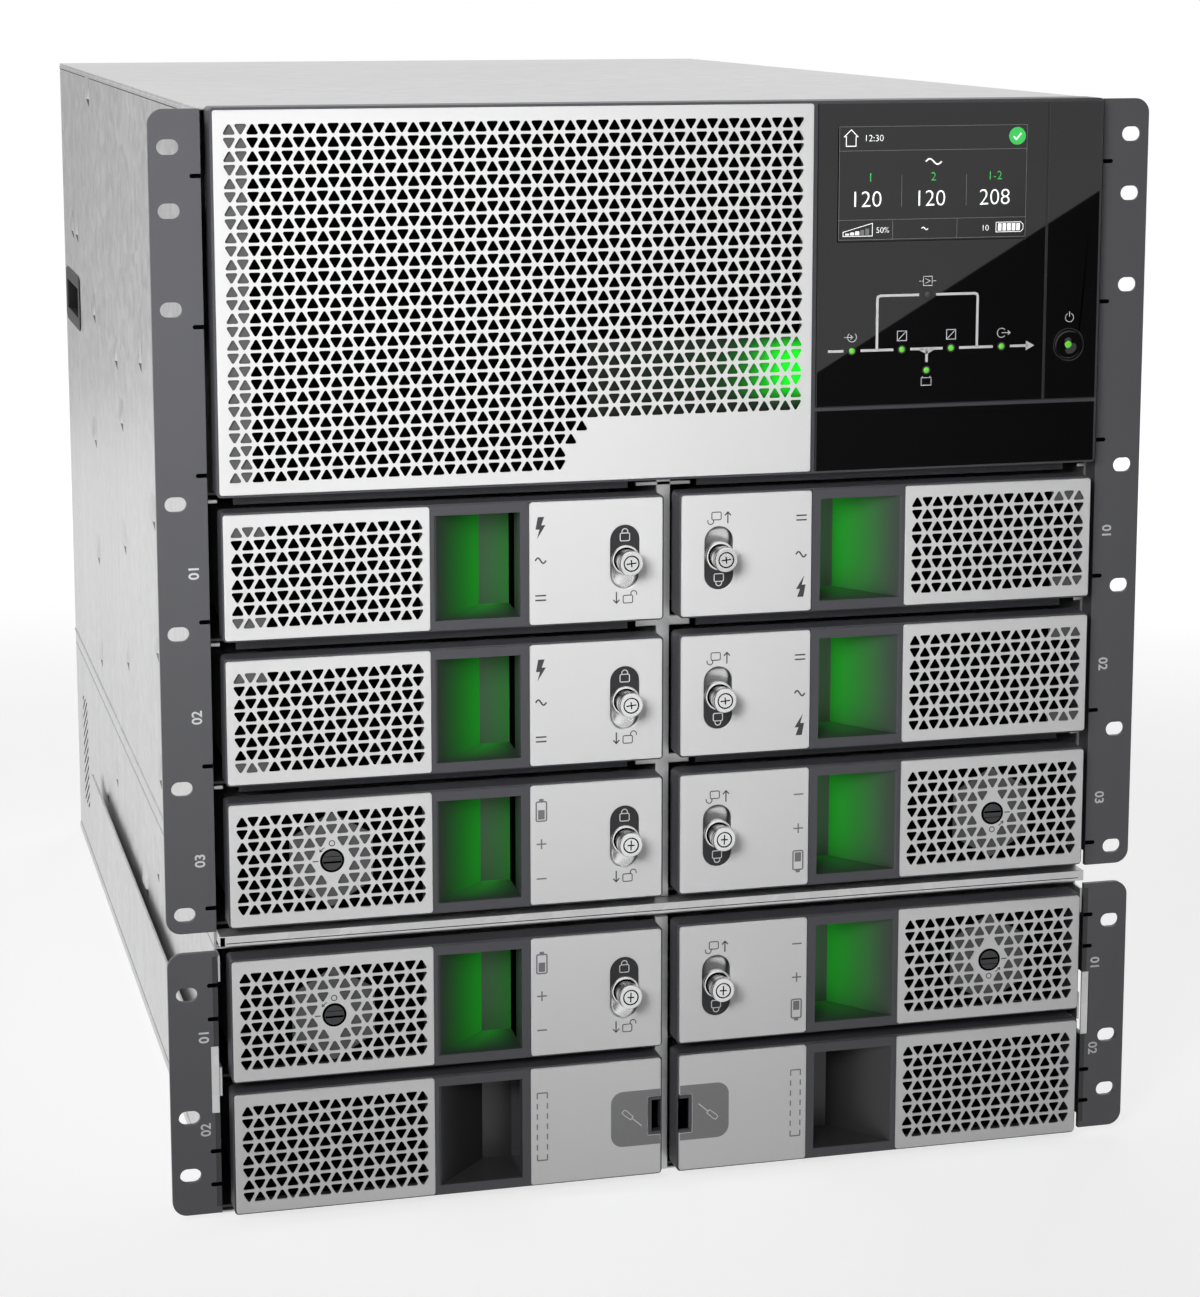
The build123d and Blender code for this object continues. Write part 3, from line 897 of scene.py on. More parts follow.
class Workshop:
    """Makes the finishes once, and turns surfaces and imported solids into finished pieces."""

    def __init__(self, frame: dict) -> None:
        """Build every finish.

        Args:
            frame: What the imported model's loader returns.
        """
        self.frame = frame
        effects = Effects()
        self.materials = {finish.look: finish.make(effects) for finish in FINISHES}

    def piece(
        self, name: str, surface: Surface, look: Look, body: str = "chassis", replaces: tuple[str, ...] = ()
    ) -> None:
        """Make one finished piece that moves with a body.

        Args:
            name: The piece's name.
            surface: Its shape in millimetres.
            look: Its finish.
            body: The body that it rides on.
            replaces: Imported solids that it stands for.
        """
        shape = surface.welded()
        mesh = bpy.data.meshes.new(name)
        faces = [row for block in shape.faces for row in block.tolist()]
        mesh.from_pydata((shape.points * MM).tolist(), [], faces)
        work = bmesh.new()
        work.from_mesh(mesh)
        bmesh.ops.recalc_face_normals(work, faces=work.faces)
        work.to_mesh(mesh)
        work.free()
        mesh.shade_smooth()
        mesh.set_sharp_from_angle(angle=SMOOTH_ANGLE)
        if shape.glow is not None:
            mesh.attributes.new("glow", "FLOAT", "POINT").data.foreach_set("value", shape.glow)
        mesh.materials.append(self.materials[look])
        made = bpy.data.objects.new(name, mesh)
        bpy.context.scene.collection.objects.link(made)
        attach(made, body)
        if replaces:
            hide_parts(*replaces)
        LOG.info("piece %s: %d faces", name, len(mesh.polygons))

    def dress(self, node: str, look: Look, bevel: float) -> None:
        """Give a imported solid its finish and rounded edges.

        Args:
            node: The solid's name.
            look: Its finish.
            bevel: Width of the rounding in millimetres.
        """
        made = self.frame["nodes"][node]
        if made.material_slots:
            made.material_slots[0].material = self.materials[look]
        else:
            made.data.materials.append(self.materials[look])
        weld = made.modifiers.new("weld", "WELD")
        weld.merge_threshold = MERGE_STEP * MM
        if bevel > 0:
            rounding = made.modifiers.new("rounding", "BEVEL")
            rounding.width = bevel * MM
            rounding.segments = 2
            rounding.limit_method = "ANGLE"
            rounding.angle_limit = BEVEL_ANGLE
        LOG.info("solid %s dressed", node)


@dataclass
class Perforation:
    """A plate with a field of small rounded triangles that point up and down in turn.

    Attributes:
        width: Width of the plate.
        height: Height of the plate.
        columns: Holes across.
        rows: Holes up.
        shift_x: Middle of the field from the middle of the plate.
        shift_z: The same, upwards.
        pitch_x: Width of a hole's cell.
        pitch_z: Height of a hole's cell.
        hole_width: Width of the sharp triangle.
        hole_height: Height of the sharp triangle.
        hole_base: Height of its base below the cell's middle.
        hole_radius: Radius of its corners.
        end_room: Room beyond the outermost cells for their holes' wide ends.
        sheet: Thickness of the sheet round the holes.
        thickness: Thickness over the plate's folded rim.
        corner: Radius of the plate's corners.
        chamfer: Bevel of its front edge.
        base_share: Place of the edge points on a cell's base, as a share of its half.
        side_share: The same on a cell's side.
        backing_depth: Depth of the grey mouldings behind the holes.
        backing_sheet: Their thickness.
        painted_shade_depth: Depth of the black sheet of painted shade behind the holes.
        painted_shade_margin: How much smaller than the plate that sheet is on each side.
    """

    width: float
    height: float
    columns: int
    rows: int
    shift_x: float = 0.0
    shift_z: float = 0.0
    pitch_x: float = 5.23
    pitch_z: float = 6.05
    hole_width: float = 6.45
    hole_height: float = 5.5
    hole_base: float = -2.41
    hole_radius: float = 0.75
    end_room: float = 0.6
    sheet: float = 0.7
    thickness: float = 1.4
    corner: float = 1.2
    chamfer: float = 0.25
    base_share: float = 0.4
    side_share: float = 0.45
    backing_depth: float = 1.55
    backing_sheet: float = 1.5
    painted_shade_depth: float = 11.5
    painted_shade_margin: float = 2.6

    def centres(self) -> Array:
        """Middles of the cells, rows from the top and columns from the left: a rows by columns by 2 array."""
        x = (np.arange(self.columns) - (self.columns - 1) / 2) * self.pitch_x + self.shift_x
        z = ((self.rows - 1) / 2 - np.arange(self.rows)) * self.pitch_z + self.shift_z
        across, up = np.meshgrid(x, z)
        return np.stack([across, up], axis=-1)

    @property
    def lean(self) -> float:
        """How far a cell's slanted sides lean over half its height: as much as the hole's own sides do."""
        return self.hole_width / 2 / self.hole_height * self.pitch_z / 2

    def edge(self) -> Array:
        """Twelve points round a cell, as shares of half its width and height, counter-clockwise."""
        base, side = self.base_share, self.side_share
        return np.array([
            [-1, side], [-1, -side], [-1, -1], [-base, -1], [base, -1], [1, -1],
            [1, -side], [1, side], [1, 1], [base, 1], [-base, 1], [-1, 1],
        ])

    def cell(self) -> Array:
        """One upright hole: twelve points on the edge of its cell, then the twelve of the hole's ring.

        The cell is wide below and narrow above, so its slanted sides run midway between two holes.
        """
        across, up = self.edge().T
        edge = np.stack([across * (self.pitch_x / 2 - self.lean * up), up * self.pitch_z / 2], axis=1)
        half, base = self.hole_width / 2, self.hole_base
        corners = np.array([[-half, base], [half, base], [0.0, base + self.hole_height]])
        return np.concatenate([edge, rounded_ring(corners, self.hole_radius, 4)])

    def side_marks(self, turn: int) -> Array:
        """Where the cells' edge points lie along one side of the field.

        On an upright side they are the rows' own. Along bottom and top a cell is wide where its hole has
        its base on that side and narrow where it has its tip there.

        Args:
            turn: 0 for the bottom, then counter-clockwise.

        Returns:
            The places from the middle of the side, in counter-clockwise order.
        """
        upright = turn % 2 == 1
        count, pitch = (self.rows, self.pitch_z) if upright else (self.columns, self.pitch_x)
        share = self.side_share if upright else self.base_share
        width = np.full(count, pitch / 2)
        end = count * pitch / 2
        if not upright:
            first = self.rows - 1 if turn == 0 else self.columns
            width += self.lean * (1 - 2 * ((first + np.arange(count)) % 2))
            end += self.end_room
        middles = (np.arange(count) - (count - 1) / 2) * pitch
        marks = (middles[:, None] + width[:, None] * np.array([-1.0, -share, share])).ravel()
        return np.concatenate([[-end], marks[1:], [end]])

    def holes(self, keep: NDArray[np.bool_]) -> Surface:
        """All cells, each the template about its own middle, turned half round where it points down.

        A cell that keeps its hole has squares from its edge to the hole, the hole's wall and the same at
        the back; any other cell has one flat face in front and behind. The outer sides of the end columns
        are made upright.

        Args:
            keep: Which cells have a hole, rows by columns.

        Returns:
            The field, open along its outer edge.
        """
        centres = self.centres()
        row, column = np.indices(centres.shape[:2]).reshape(2, -1)
        sign = np.where((row + column) % 2 == 0, 1.0, -1.0)
        flat = centres.reshape(-1, 1, 2) + sign[:, None, None] * self.cell()
        across = sign[:, None] * self.edge()[:, 0]
        reach = self.columns * self.pitch_x / 2 + self.end_room
        at_left = (column == 0)[:, None] & (across == -1.0)
        at_right = (column == self.columns - 1)[:, None] & (across == 1.0)
        edge_x = flat[:, :CELL_POINTS, 0]
        edge_x[at_left] = self.shift_x - reach
        edge_x[at_right] = self.shift_x + reach
        points = np.concatenate([at_depth(flat, 0.0), at_depth(flat, self.sheet)], axis=1)
        i = np.arange(CELL_POINTS)
        j = (i + 1) % CELL_POINTS
        hole, back_edge, back_hole = CELL_POINTS, 2 * CELL_POINTS, 3 * CELL_POINTS
        front = np.stack([i, j, j + hole, i + hole], axis=1)
        wall = np.stack([i + hole, j + hole, j + back_hole, i + back_hole], axis=1)
        back = np.stack([j + back_edge, i + back_edge, i + back_hole, j + back_hole], axis=1)
        bare = np.stack([i, i[::-1] + back_edge])
        start = points.shape[1] * np.arange(len(flat))[:, None, None]
        holed = keep.ravel()
        quads = (np.concatenate([front, wall, back]) + start)[holed].reshape(-1, 4)
        flats = (bare + start)[~holed].reshape(-1, CELL_POINTS)
        return Surface(points.reshape(-1, 3), [quads, flats])

    def border(self, inset: float, depth: float, field_depth: float) -> tuple[Surface, Array]:
        """The flat margin between the field and the plate's outline.

        Along each side the field's edge points are pushed straight out to the outline, and each corner is
        a fan from the field's corner to the outline's arc.

        Args:
            inset: How far the outline lies inside the plate's size.
            depth: Depth of the margin at the outline.
            field_depth: Its depth along the field.

        Returns:
            The margin, facing the front, and the outline's ring.
        """
        half = np.array([self.columns * self.pitch_x / 2 + self.end_room, self.rows * self.pitch_z / 2])
        shift = np.array([self.shift_x, self.shift_z])
        size = np.array([self.width, self.height]) / 2 - inset
        radius = self.corner - inset
        outline, parts = [], []
        for turn in range(4):
            quarter = np.array([[0, -1], [1, 0]]) if turn else np.eye(2)
            spin = np.linalg.matrix_power(quarter, turn).astype(float)
            along, out = np.abs(spin @ [1, 0]), np.abs(spin @ [0, 1])
            local_shift = spin.T @ shift
            marks = self.side_marks(turn) + local_shift[0]
            rise = size @ out
            inner = np.stack([marks, np.full(len(marks), local_shift[1] - half @ out)], axis=1)
            outer = np.stack([marks, np.full(len(marks), -rise)], axis=1)
            outer[0, 0], outer[-1, 0] = -(size @ along) + radius, size @ along - radius
            curve = arc(size @ along - radius, radius - rise, radius, -90.0, 0.0, CORNER_POINTS)
            fan = np.concatenate([inner[-1:], curve])
            strip = grid(np.stack([at_depth(outer @ spin.T, depth), at_depth(inner @ spin.T, field_depth)]))
            tips = np.arange(1, CORNER_POINTS)
            corner = np.stack([np.zeros_like(tips), tips, tips + 1], axis=1)
            fan_depth = np.append(field_depth, np.full(CORNER_POINTS, depth))
            parts += [strip, Surface(at_depth(fan @ spin.T, fan_depth), [corner])]
            outline += [outer[:-1] @ spin.T, curve[:-1] @ spin.T]
        return join(*parts), np.concatenate(outline)

    def plate(self, keep: NDArray[np.bool_]) -> Surface:
        """The whole plate about its own middle, its front face at depth 0.

        Args:
            keep: Which cells have a hole, rows by columns.

        Returns:
            The closed plate: field, margins in front and behind, bevel and edge.
        """
        face, ring = self.border(self.chamfer, 0.0, 0.0)
        rear, full = self.border(0.0, self.thickness, self.sheet)
        rear = Surface(rear.points, [f[:, ::-1] for f in rear.faces])
        rim = grid(np.stack([
            at_depth(full, self.thickness), at_depth(full, self.chamfer), at_depth(ring, 0.0),
        ]), wrap=True)
        return join(self.holes(keep), face, rear, rim).welded()

    def painted_shade_sheet(self) -> Surface:
        """Painted shade far behind the holes: a black flat grid smaller than the plate by a margin all round.
        """
        corners = rectangle(self.width - 2 * self.painted_shade_margin, self.height - 2 * self.painted_shade_margin)
        return grid(at_depth(corners[[0, 1, 3, 2]].reshape(2, 2, 2), self.painted_shade_depth))

    def backing(self, ring: Array) -> Surface:
        """A moulding with this outline just behind the plate, which shows through the holes."""
        return pressed_plate(ring, self.backing_depth, self.backing_sheet, 0.05)


def ray_to_rectangle(origin: Array, angle: Array, half: Array, radius: float) -> Array:
    """Where rays from a point inside meet a rounded rectangle about zero.

    Each ray goes to the nearer of the two sides that it faces; where that point lies in a corner's square
    the ray meets the corner's circle instead, at the larger root of its quadratic.

    Args:
        origin: The point inside.
        angle: The rays' angles.
        half: Half the width and height.
        radius: Radius of the corners.

    Returns:
        The points.
    """
    way = np.stack([np.cos(angle), np.sin(angle)], axis=-1)
    safe = np.where(np.abs(way) < 1e-9, 1e-9, way)
    reach = ((np.sign(safe) * half - origin) / safe).min(axis=1)
    straight = origin + reach[:, None] * way
    centre = np.sign(straight) * (half - radius)
    gap = origin - centre
    along = np.sum(gap * way, axis=1)
    root = np.sqrt(np.maximum(along**2 - np.sum(gap**2, axis=1) + radius**2, 0.0))
    curved = origin + (root - along)[:, None] * way
    in_corner = np.all(np.abs(straight) > half - radius, axis=1)
    return np.where(in_corner[:, None], curved, straight)


@dataclass
class LockSlot:
    """The slot that a lock knob slides in, in the lock plate of a left module.

    Attributes:
        x: Middle of the slot from the module's middle.
        rise: Middle of the slot above the module's middle.
        width: Width of the slot.
        length: Length of the slot.
        knob_rise: Height of the knob at rest.
        knob_rings: Radius and depth of the knob's rings: ringed face, barrel, waist and the flat shoe.
        dark_reflection_rings: The same for the black band of painted dark reflection round the barrel.
        segments: Points round the knob.
        cross_y: Depth of the dark cross in the face.
        cross_long: Half the length of its longer stroke.
        cross_short: Half the length of its shorter stroke.
        cross_line: Width of its strokes.
        face_groove: Radius, width, depth and height of the black ring of painted shade in the face's groove.
        foot_shade_ring: The same for the black ring of painted shade round the waist's foot.
        dish_rim: Depth of the dished metal along its rim.
        dish_depth: How much deeper its middle is.
        cap_y: Depth of the cap's face.
        cap_sheet: Thickness of the cap.
        cap_gap: Clearance of the cap in the slot.
        sign_size: Width of a padlock sign.
        sign_line: Width of its lines.
        arrow_line: Width of the arrow's lines.
    """

    x: float = 85.3
    rise: float = 1.4
    width: float = 14.3
    length: float = 30.5
    knob_rise: float = 0.25
    knob_rings: Pairs = (
        (0.4, -11.75), (3.2, -11.75), (3.35, -11.2), (3.75, -11.2), (3.9, -11.9), (5.3, -11.9),
        (5.75, -11.5), (5.9, -10.8), (5.9, -7.2), (5.2, -6.2), (4.9, -5.2), (4.9, -2.6), (5.2, -2.0),
        (6.5, -1.7), (6.9, -1.2), (6.9, 1.0), (6.6, 1.2), (0.4, 1.2),
    )
    dark_reflection_rings: Pairs = ((5.6, -10.7), (5.96, -10.5), (5.96, -10.2), (5.6, -10.0))
    segments: int = 56
    cross_y: float = -11.74
    cross_long: float = 2.4
    cross_short: float = 1.7
    cross_line: float = 0.6
    face_groove: tuple[float, ...] = (3.55, 0.5, -11.19, 0.06)
    foot_shade_ring: tuple[float, ...] = (5.45, 1.1, -1.7, 0.4)
    dish_rim: float = 1.3
    dish_depth: float = 5.0
    cap_y: float = 0.35
    cap_sheet: float = 1.2
    cap_gap: float = 0.08
    sign_size: float = 4.6
    sign_line: float = 0.46
    arrow_line: float = 0.6

    def ring(self, angle: Array, grow: float) -> Array:
        """The slot's outline, grown by a margin, where rays at these angles from its middle meet it."""
        half = np.array([self.width, self.length]) / 2 + grow
        return np.array([self.x, self.rise]) + ray_to_rectangle(np.zeros(2), angle, half, half[0] - 1e-6)

    def knob(self) -> Surface:
        """The turned knob."""
        return lathe(self.knob_rings, self.x, self.knob_rise, self.segments)

    def hoop(self, radius: float, width: float, y: float, height: float) -> Surface:
        """A raised ring round the knob's axis."""
        return ribbon(arc(self.x, self.knob_rise, radius, 0.0, 350.0, 36), width, y, height, True)

    def cross(self, turn: float) -> Surface:
        """The dark cross in the knob's face, turned by some degrees, with black rings of painted shade in the
        face's groove and round the waist's foot, and a black band of painted dark reflection round the
        barrel.
        """
        way = np.array([math.cos(math.radians(turn)), math.sin(math.radians(turn))])
        other = np.array([-way[1], way[0]])
        middle = np.array([self.x, self.knob_rise])
        long = middle + np.outer([-self.cross_long, self.cross_long], way)
        short = middle + np.outer([-self.cross_short, self.cross_short], other)
        return join(
            ribbon(long, self.cross_line, self.cross_y, PRINT),
            ribbon(short, self.cross_line, self.cross_y, OVERPRINT),
            self.hoop(*self.face_groove),
            lathe(self.dark_reflection_rings, self.x, self.knob_rise, self.segments),
            self.hoop(*self.foot_shade_ring),
        )

    def scoop(self) -> Surface:
        """The dished metal below the knob, from the slot's lower end to behind the knob.

        Across, it follows the slot's outline. It is deeper than its rim by a bowl: the root of one less the
        square of the share across, times the root of the share along.
        """
        along = np.linspace(0.0, 1.0, 14)
        across = np.linspace(-1.0, 1.0, 17)
        end = self.rise - self.length / 2
        radius = self.width / 2 - 0.05
        z = end + 0.1 + along * (self.length / 2 + 1.0)
        drop = np.clip(radius - (z - end), 0.0, radius)
        half = np.sqrt(np.maximum(radius**2 - drop**2, 0.05))
        x = self.x + half[:, None] * across
        bowl = np.sqrt(1.0 - across**2) * np.sqrt(along)[:, None]
        depth = self.dish_rim + self.dish_depth * bowl
        return grid(np.stack([x, depth, np.broadcast_to(z[:, None], x.shape)], axis=-1))

    def cap(self) -> Surface:
        """The dark flush cap in the slot's upper end, above the knob's shoe."""
        radius = self.width / 2 - self.cap_gap
        low, top = self.knob_rise, self.rise + self.length / 2 - self.cap_gap
        corners = rectangle(2 * radius, top - low, self.x, (low + top) / 2)
        ring = rounded_ring(corners, np.array([0.2, 0.2, radius - 0.01, radius - 0.01]), 12)
        return pressed_plate(ring, self.cap_y, self.cap_sheet, 0.1)

    def padlock(self, x: float, z: float, is_open: bool) -> Surface:
        """A padlock sign: a round-cornered body and a bow, swung aside where the lock is open."""
        size = self.sign_size
        body = rounded_ring(rectangle(size, size * 0.8, x, z - size * 0.2), size * 0.15, 5)
        swing = size * 0.62 if is_open else 0.0
        bow = arc(x + swing, z + size * 0.35, size * 0.31, 0.0, 180.0, 12)
        foot = np.array([[0.0, -size * 0.16]])
        path = np.concatenate([bow[:1] + foot, bow, bow[-1:] + foot])
        outline = ribbon(body, self.sign_line, 0.0, OVERPRINT, True)
        return join(outline, ribbon(path, self.sign_line, 0.0, OVERPRINT))

    def arrow(self, x: float, z: float, length: float) -> Surface:
        """An arrow that points down, the way that the knob unlocks."""
        tip, wing = z - length / 2, z - length / 2 + 1.6
        shaft = ribbon(path_of(x, z + length / 2, x, tip), self.arrow_line, 0.0, OVERPRINT)
        head = ribbon(path_of(x - 1.5, wing, x, tip, x + 1.5, wing), self.arrow_line, 0.0, OVERPRINT)
        return join(shaft, head)

    def locked_sign(self) -> Surface:
        """The closed padlock on the cap."""
        return self.padlock(self.x, self.rise + 10.4, False).moved(0.0, self.cap_y, 0.0)

    def unlock_sign(self) -> Surface:
        """The open padlock below the slot, with an arrow beside it."""
        return join(self.padlock(self.x + 1.4, -18.0, True), self.arrow(self.x - 4.2, -17.9, 5.4))


@dataclass
class Pocket:
    """The finger pocket of a left module: a slanted wall, a back wall, floor and ceiling.

    Attributes:
        start: Where the slanted wall leaves the front.
        slant: How far across it runs.
        depth: Depth of the back wall.
        half_height: Half the height at the front.
        taper: How much less that is at the back.
        gap: Clearance to the moulding around.
        wall: Where the wall beside the lock stands.
        lip: Depth at which that wall starts, behind the moulding's own lip.
        dark: Depth at which it passes into shadow.
    """

    start: float = -6.6
    slant: float = 26.6
    depth: float = 25.0
    half_height: float = 24.85
    taper: float = 1.85
    gap: float = 0.12
    wall: float = 34.8
    lip: float = 6.0
    dark: float = 13.0

    def half_at(self, depth: Array) -> Array:
        """Half the height at a depth: it falls in proportion to the depth."""
        return self.half_height - self.taper * depth / self.depth - self.gap

    def liner(self) -> Surface:
        """The lit lining, as one sheet along the slanted and back walls and one each for floor and ceiling.

        The walls are a path across the pocket carried up and down. The glow rises along the slanted wall
        to the corner, drops on the back wall and rises again along it, and dims towards floor and ceiling.
        """
        share = np.linspace(0.0, 1.0, 25)
        slant_x = self.start + self.slant * share + self.gap * 2
        slant_y = np.maximum(self.depth * share - self.gap, 1.0)
        back_x = self.start + self.slant + (self.wall - self.start - self.slant) * share
        back_y = np.full(share.shape, self.depth - self.gap)
        x, y = np.concatenate([slant_x, back_x]), np.concatenate([slant_y, back_y])
        up = np.linspace(-1.0, 1.0, 21)
        z = self.half_at(y)[:, None] * up
        walls = grid(np.stack(np.broadcast_arrays(x[:, None], y[:, None], z), axis=-1))
        slant_glow = 0.02 + 0.98 * np.clip((share - 0.08) / 0.87, 0, 1) ** 1.2
        back_glow = 0.10 + 0.30 * share**1.3
        dim = 1.0 - 0.35 * np.abs(up + 0.12) ** 3
        walls.glow = (np.concatenate([slant_glow, back_glow])[:, None] * dim).ravel()
        return join(walls, self.lid(-1.0), self.lid(1.0))

    def side_wall(self, near: float, far: float) -> Surface:
        """The wall beside the lock between two depths, its height following the taper."""
        y = np.array([near, far])
        z = self.half_at(y)[:, None] * np.linspace(-1.0, 1.0, 5)
        return grid(np.stack(np.broadcast_arrays(self.wall, y[:, None], z), axis=-1))

    def lid(self, sign: float) -> Surface:
        """Floor or ceiling of the lining: at each depth it runs from the slanted wall to the lock's wall.

        Args:
            sign: -1 for the floor and 1 for the ceiling.

        Returns:
            The sheet, with a glow that rises towards the back and the corner.
        """
        share = np.linspace(0.06, 1.0, 13)
        across = np.linspace(0.0, 1.0, 19)
        y = self.depth * share - self.gap
        left = self.start + self.slant * share + self.gap
        x = left[:, None] + (self.wall - left)[:, None] * across
        depth = np.broadcast_to(y[:, None], x.shape)
        sheet = grid(np.stack([x, depth, sign * self.half_at(depth)], axis=-1))
        spread = np.exp(-(((across - 0.35) / 0.45) ** 2))
        brightest = 0.75 if sign < 0 else 0.4
        sheet.glow = (np.clip(share - 0.1, 0, 1)[:, None] * spread * brightest).ravel()
        return sheet


@dataclass
class Switch:
    """The round switch of a left battery, about the middle of its perforated plate.

    Attributes:
        boss_reach: Radius of the hexagonal boss behind it, over its points.
        disc_rings: Radius and depth of the turned disc's rings.
        gap_rings: The same for the black ring of painted shade in the gap round the disc.
        bar_width: Width of the bar across the disc.
        bar_height: Height of the bar.
        bar_rise: Height of the bar's middle.
        bar_y: Depth of the bar's face.
        bar_shadow_y: Depth of the black lines of painted shadow below and above the bar.
        bar_shadow_proud: How far they stand out.
        sign_line: Width of the printed arrow's lines.
    """

    boss_reach: float = 22.5
    disc_rings: Pairs = ((0.3, -0.45), (4.5, -0.45), (4.8, -0.2), (4.8, 0.5))
    gap_rings: Pairs = ((4.85, -0.30), (5.5, -0.30), (5.75, -0.04), (5.75, 0.2))
    bar_width: float = 8.6
    bar_height: float = 2.0
    bar_rise: float = 0.75
    bar_y: float = -1.0
    bar_shadow_y: float = -0.44
    bar_shadow_proud: float = 0.04
    sign_line: float = 0.4

    def boss(self) -> Array:
        """Outline of the grey boss: a hexagon with a point at the top."""
        tips = np.radians(np.arange(6) * 60.0 + 30.0)
        return self.boss_reach * np.stack([np.cos(tips), np.sin(tips)], axis=-1)

    def knob(self) -> Surface:
        """The turned disc with a bar across it."""
        ring = rounded_ring(rectangle(self.bar_width, self.bar_height, 0.0, self.bar_rise), 0.9, 5)
        return join(lathe(self.disc_rings, 0.0, 0.0), pressed_plate(ring, self.bar_y, 0.8, 0.35))

    def bar_shadows(self) -> Surface:
        """Painted shadow: black lines below and above the bar."""
        below, above = path_of(-4.3, -0.75, 4.3, -0.75), path_of(-4.0, 1.95, 4.0, 1.95)
        return join(
            ribbon(below, 0.95, self.bar_shadow_y, self.bar_shadow_proud),
            ribbon(above, 0.3, self.bar_shadow_y, self.bar_shadow_proud),
        )

    def gap(self) -> Surface:
        """Painted shade: a black ring in the gap between the disc and the plate."""
        return lathe(self.gap_rings, 0.0, 0.0)

    def signs(self) -> Surface:
        """A ring above the disc for off, a bar at its left for on, and a bent arrow from one to the other."""
        off = ribbon(arc(0.0, 8.3, 1.3, 0.0, 345.0, 24), 0.42, 0.0, PRINT, True)
        on = ribbon(path_of(-9.2, 0.0, -6.5, 0.0), 0.5, 0.0, PRINT)
        bend = arc(0.0, 0.0, 7.3, 118.0, 142.0, 8)
        tip = bend[-1] + path_of(0.1, 1.3, 0.0, 0.0, 1.3, 0.3)
        arrow = ribbon(bend, self.sign_line, 0.0, PRINT)
        return join(off, on, arrow, ribbon(tip, self.sign_line, 0.0, OVERPRINT))


@dataclass
class PrySlot:
    """The slot for a flat tool at the outer edge of a left filler's plate, with the patch printed round it.

    Attributes:
        low: Lower edge of the slot.
        high: Its upper edge.
        start: Where it starts, from the module's middle.
        end: Where it and the plate end.
        patch_start: Where the patch starts.
        patch_low: Lower edge of the patch.
        patch_high: Its upper edge.
        patch_margin: How far the patch keeps from the plate's edges.
        ink: How far the patch stands proud.
        rim: Width of the moulding's edge inside the slot.
        shadow_y: Depth of the shadow behind the slot.
        sign_middle: Middle of the sign, X and Z.
        sign_tilt: Angle of the sign's tool, in degrees.
    """

    low: float = -9.3
    high: float = 9.9
    start: float = 97.4
    end: float = 103.7
    patch_start: float = 78.6
    patch_low: float = -14.2
    patch_high: float = 13.8
    patch_margin: float = 0.3
    ink: float = 0.04
    rim: float = 1.5
    shadow_y: float = 5.5
    sign_middle: Pair = (89.4, -0.2)
    sign_tilt: float = -41.0

    def outline(self, left: float, bottom: float, top: float, margin: float) -> Array:
        """Corners of a sheet that the slot is cut into, kept back from the slot's edges by a margin."""
        edge, end = self.end - margin, self.start - margin
        low, high = self.low - margin, self.high + margin
        return path_of(
            left, bottom, edge, bottom, edge, low, end, low, end, high, edge, high, edge, top, left, top
        )

    def patch(self) -> Surface:
        """The printed patch round the slot."""
        corners = self.outline(self.patch_start, self.patch_low, self.patch_high, self.patch_margin)
        ring = rounded_ring(corners, np.array([6.0, 0.2, 0.2, 0.5, 0.5, 0.2, 0.2, 6.0]), 8)
        return pressed_plate(ring, -self.ink, 2 * self.ink, 0.02)

    def lining(self, y: float) -> Surface:
        """The moulding's edge along the inside of the slot, in front of a depth."""
        low, high, left = self.low + 0.8, self.high - 0.8, self.start + 0.8
        path = path_of(self.end, low, left, low, left, high, self.end, high)
        return ribbon(path, self.rim, y, self.rim)

    def shadow(self) -> Surface:
        """The dark hollow behind the slot."""
        middle = (self.end + self.start) / 2, (self.low + self.high) / 2
        ring = rectangle(self.end - self.start, self.high - self.low, *middle)
        return pressed_plate(ring, self.shadow_y, 0.3, 0.05)

    def sign(self) -> Surface:
        """A flat screwdriver: the outline of its grip and one stroke for its blade."""
        tilt = math.radians(self.sign_tilt)
        way = np.array([math.cos(tilt), math.sin(tilt)])
        across = np.array([-way[1], way[0]])
        middle = np.array(self.sign_middle)
        outline = path_of(-0.4, -1.0, -0.4, 1.0, -4.6, 1.2, -6.2, 0.9, -6.2, -0.9, -4.6, -1.2)
        grip = middle + outline[:, :1] * way + outline[:, 1:] * across
        blade = middle + np.outer([-0.4, 6.2], way)
        return join(ribbon(grip, 0.42, -self.ink, PRINT, True), ribbon(blade, 0.5, -self.ink, PRINT))


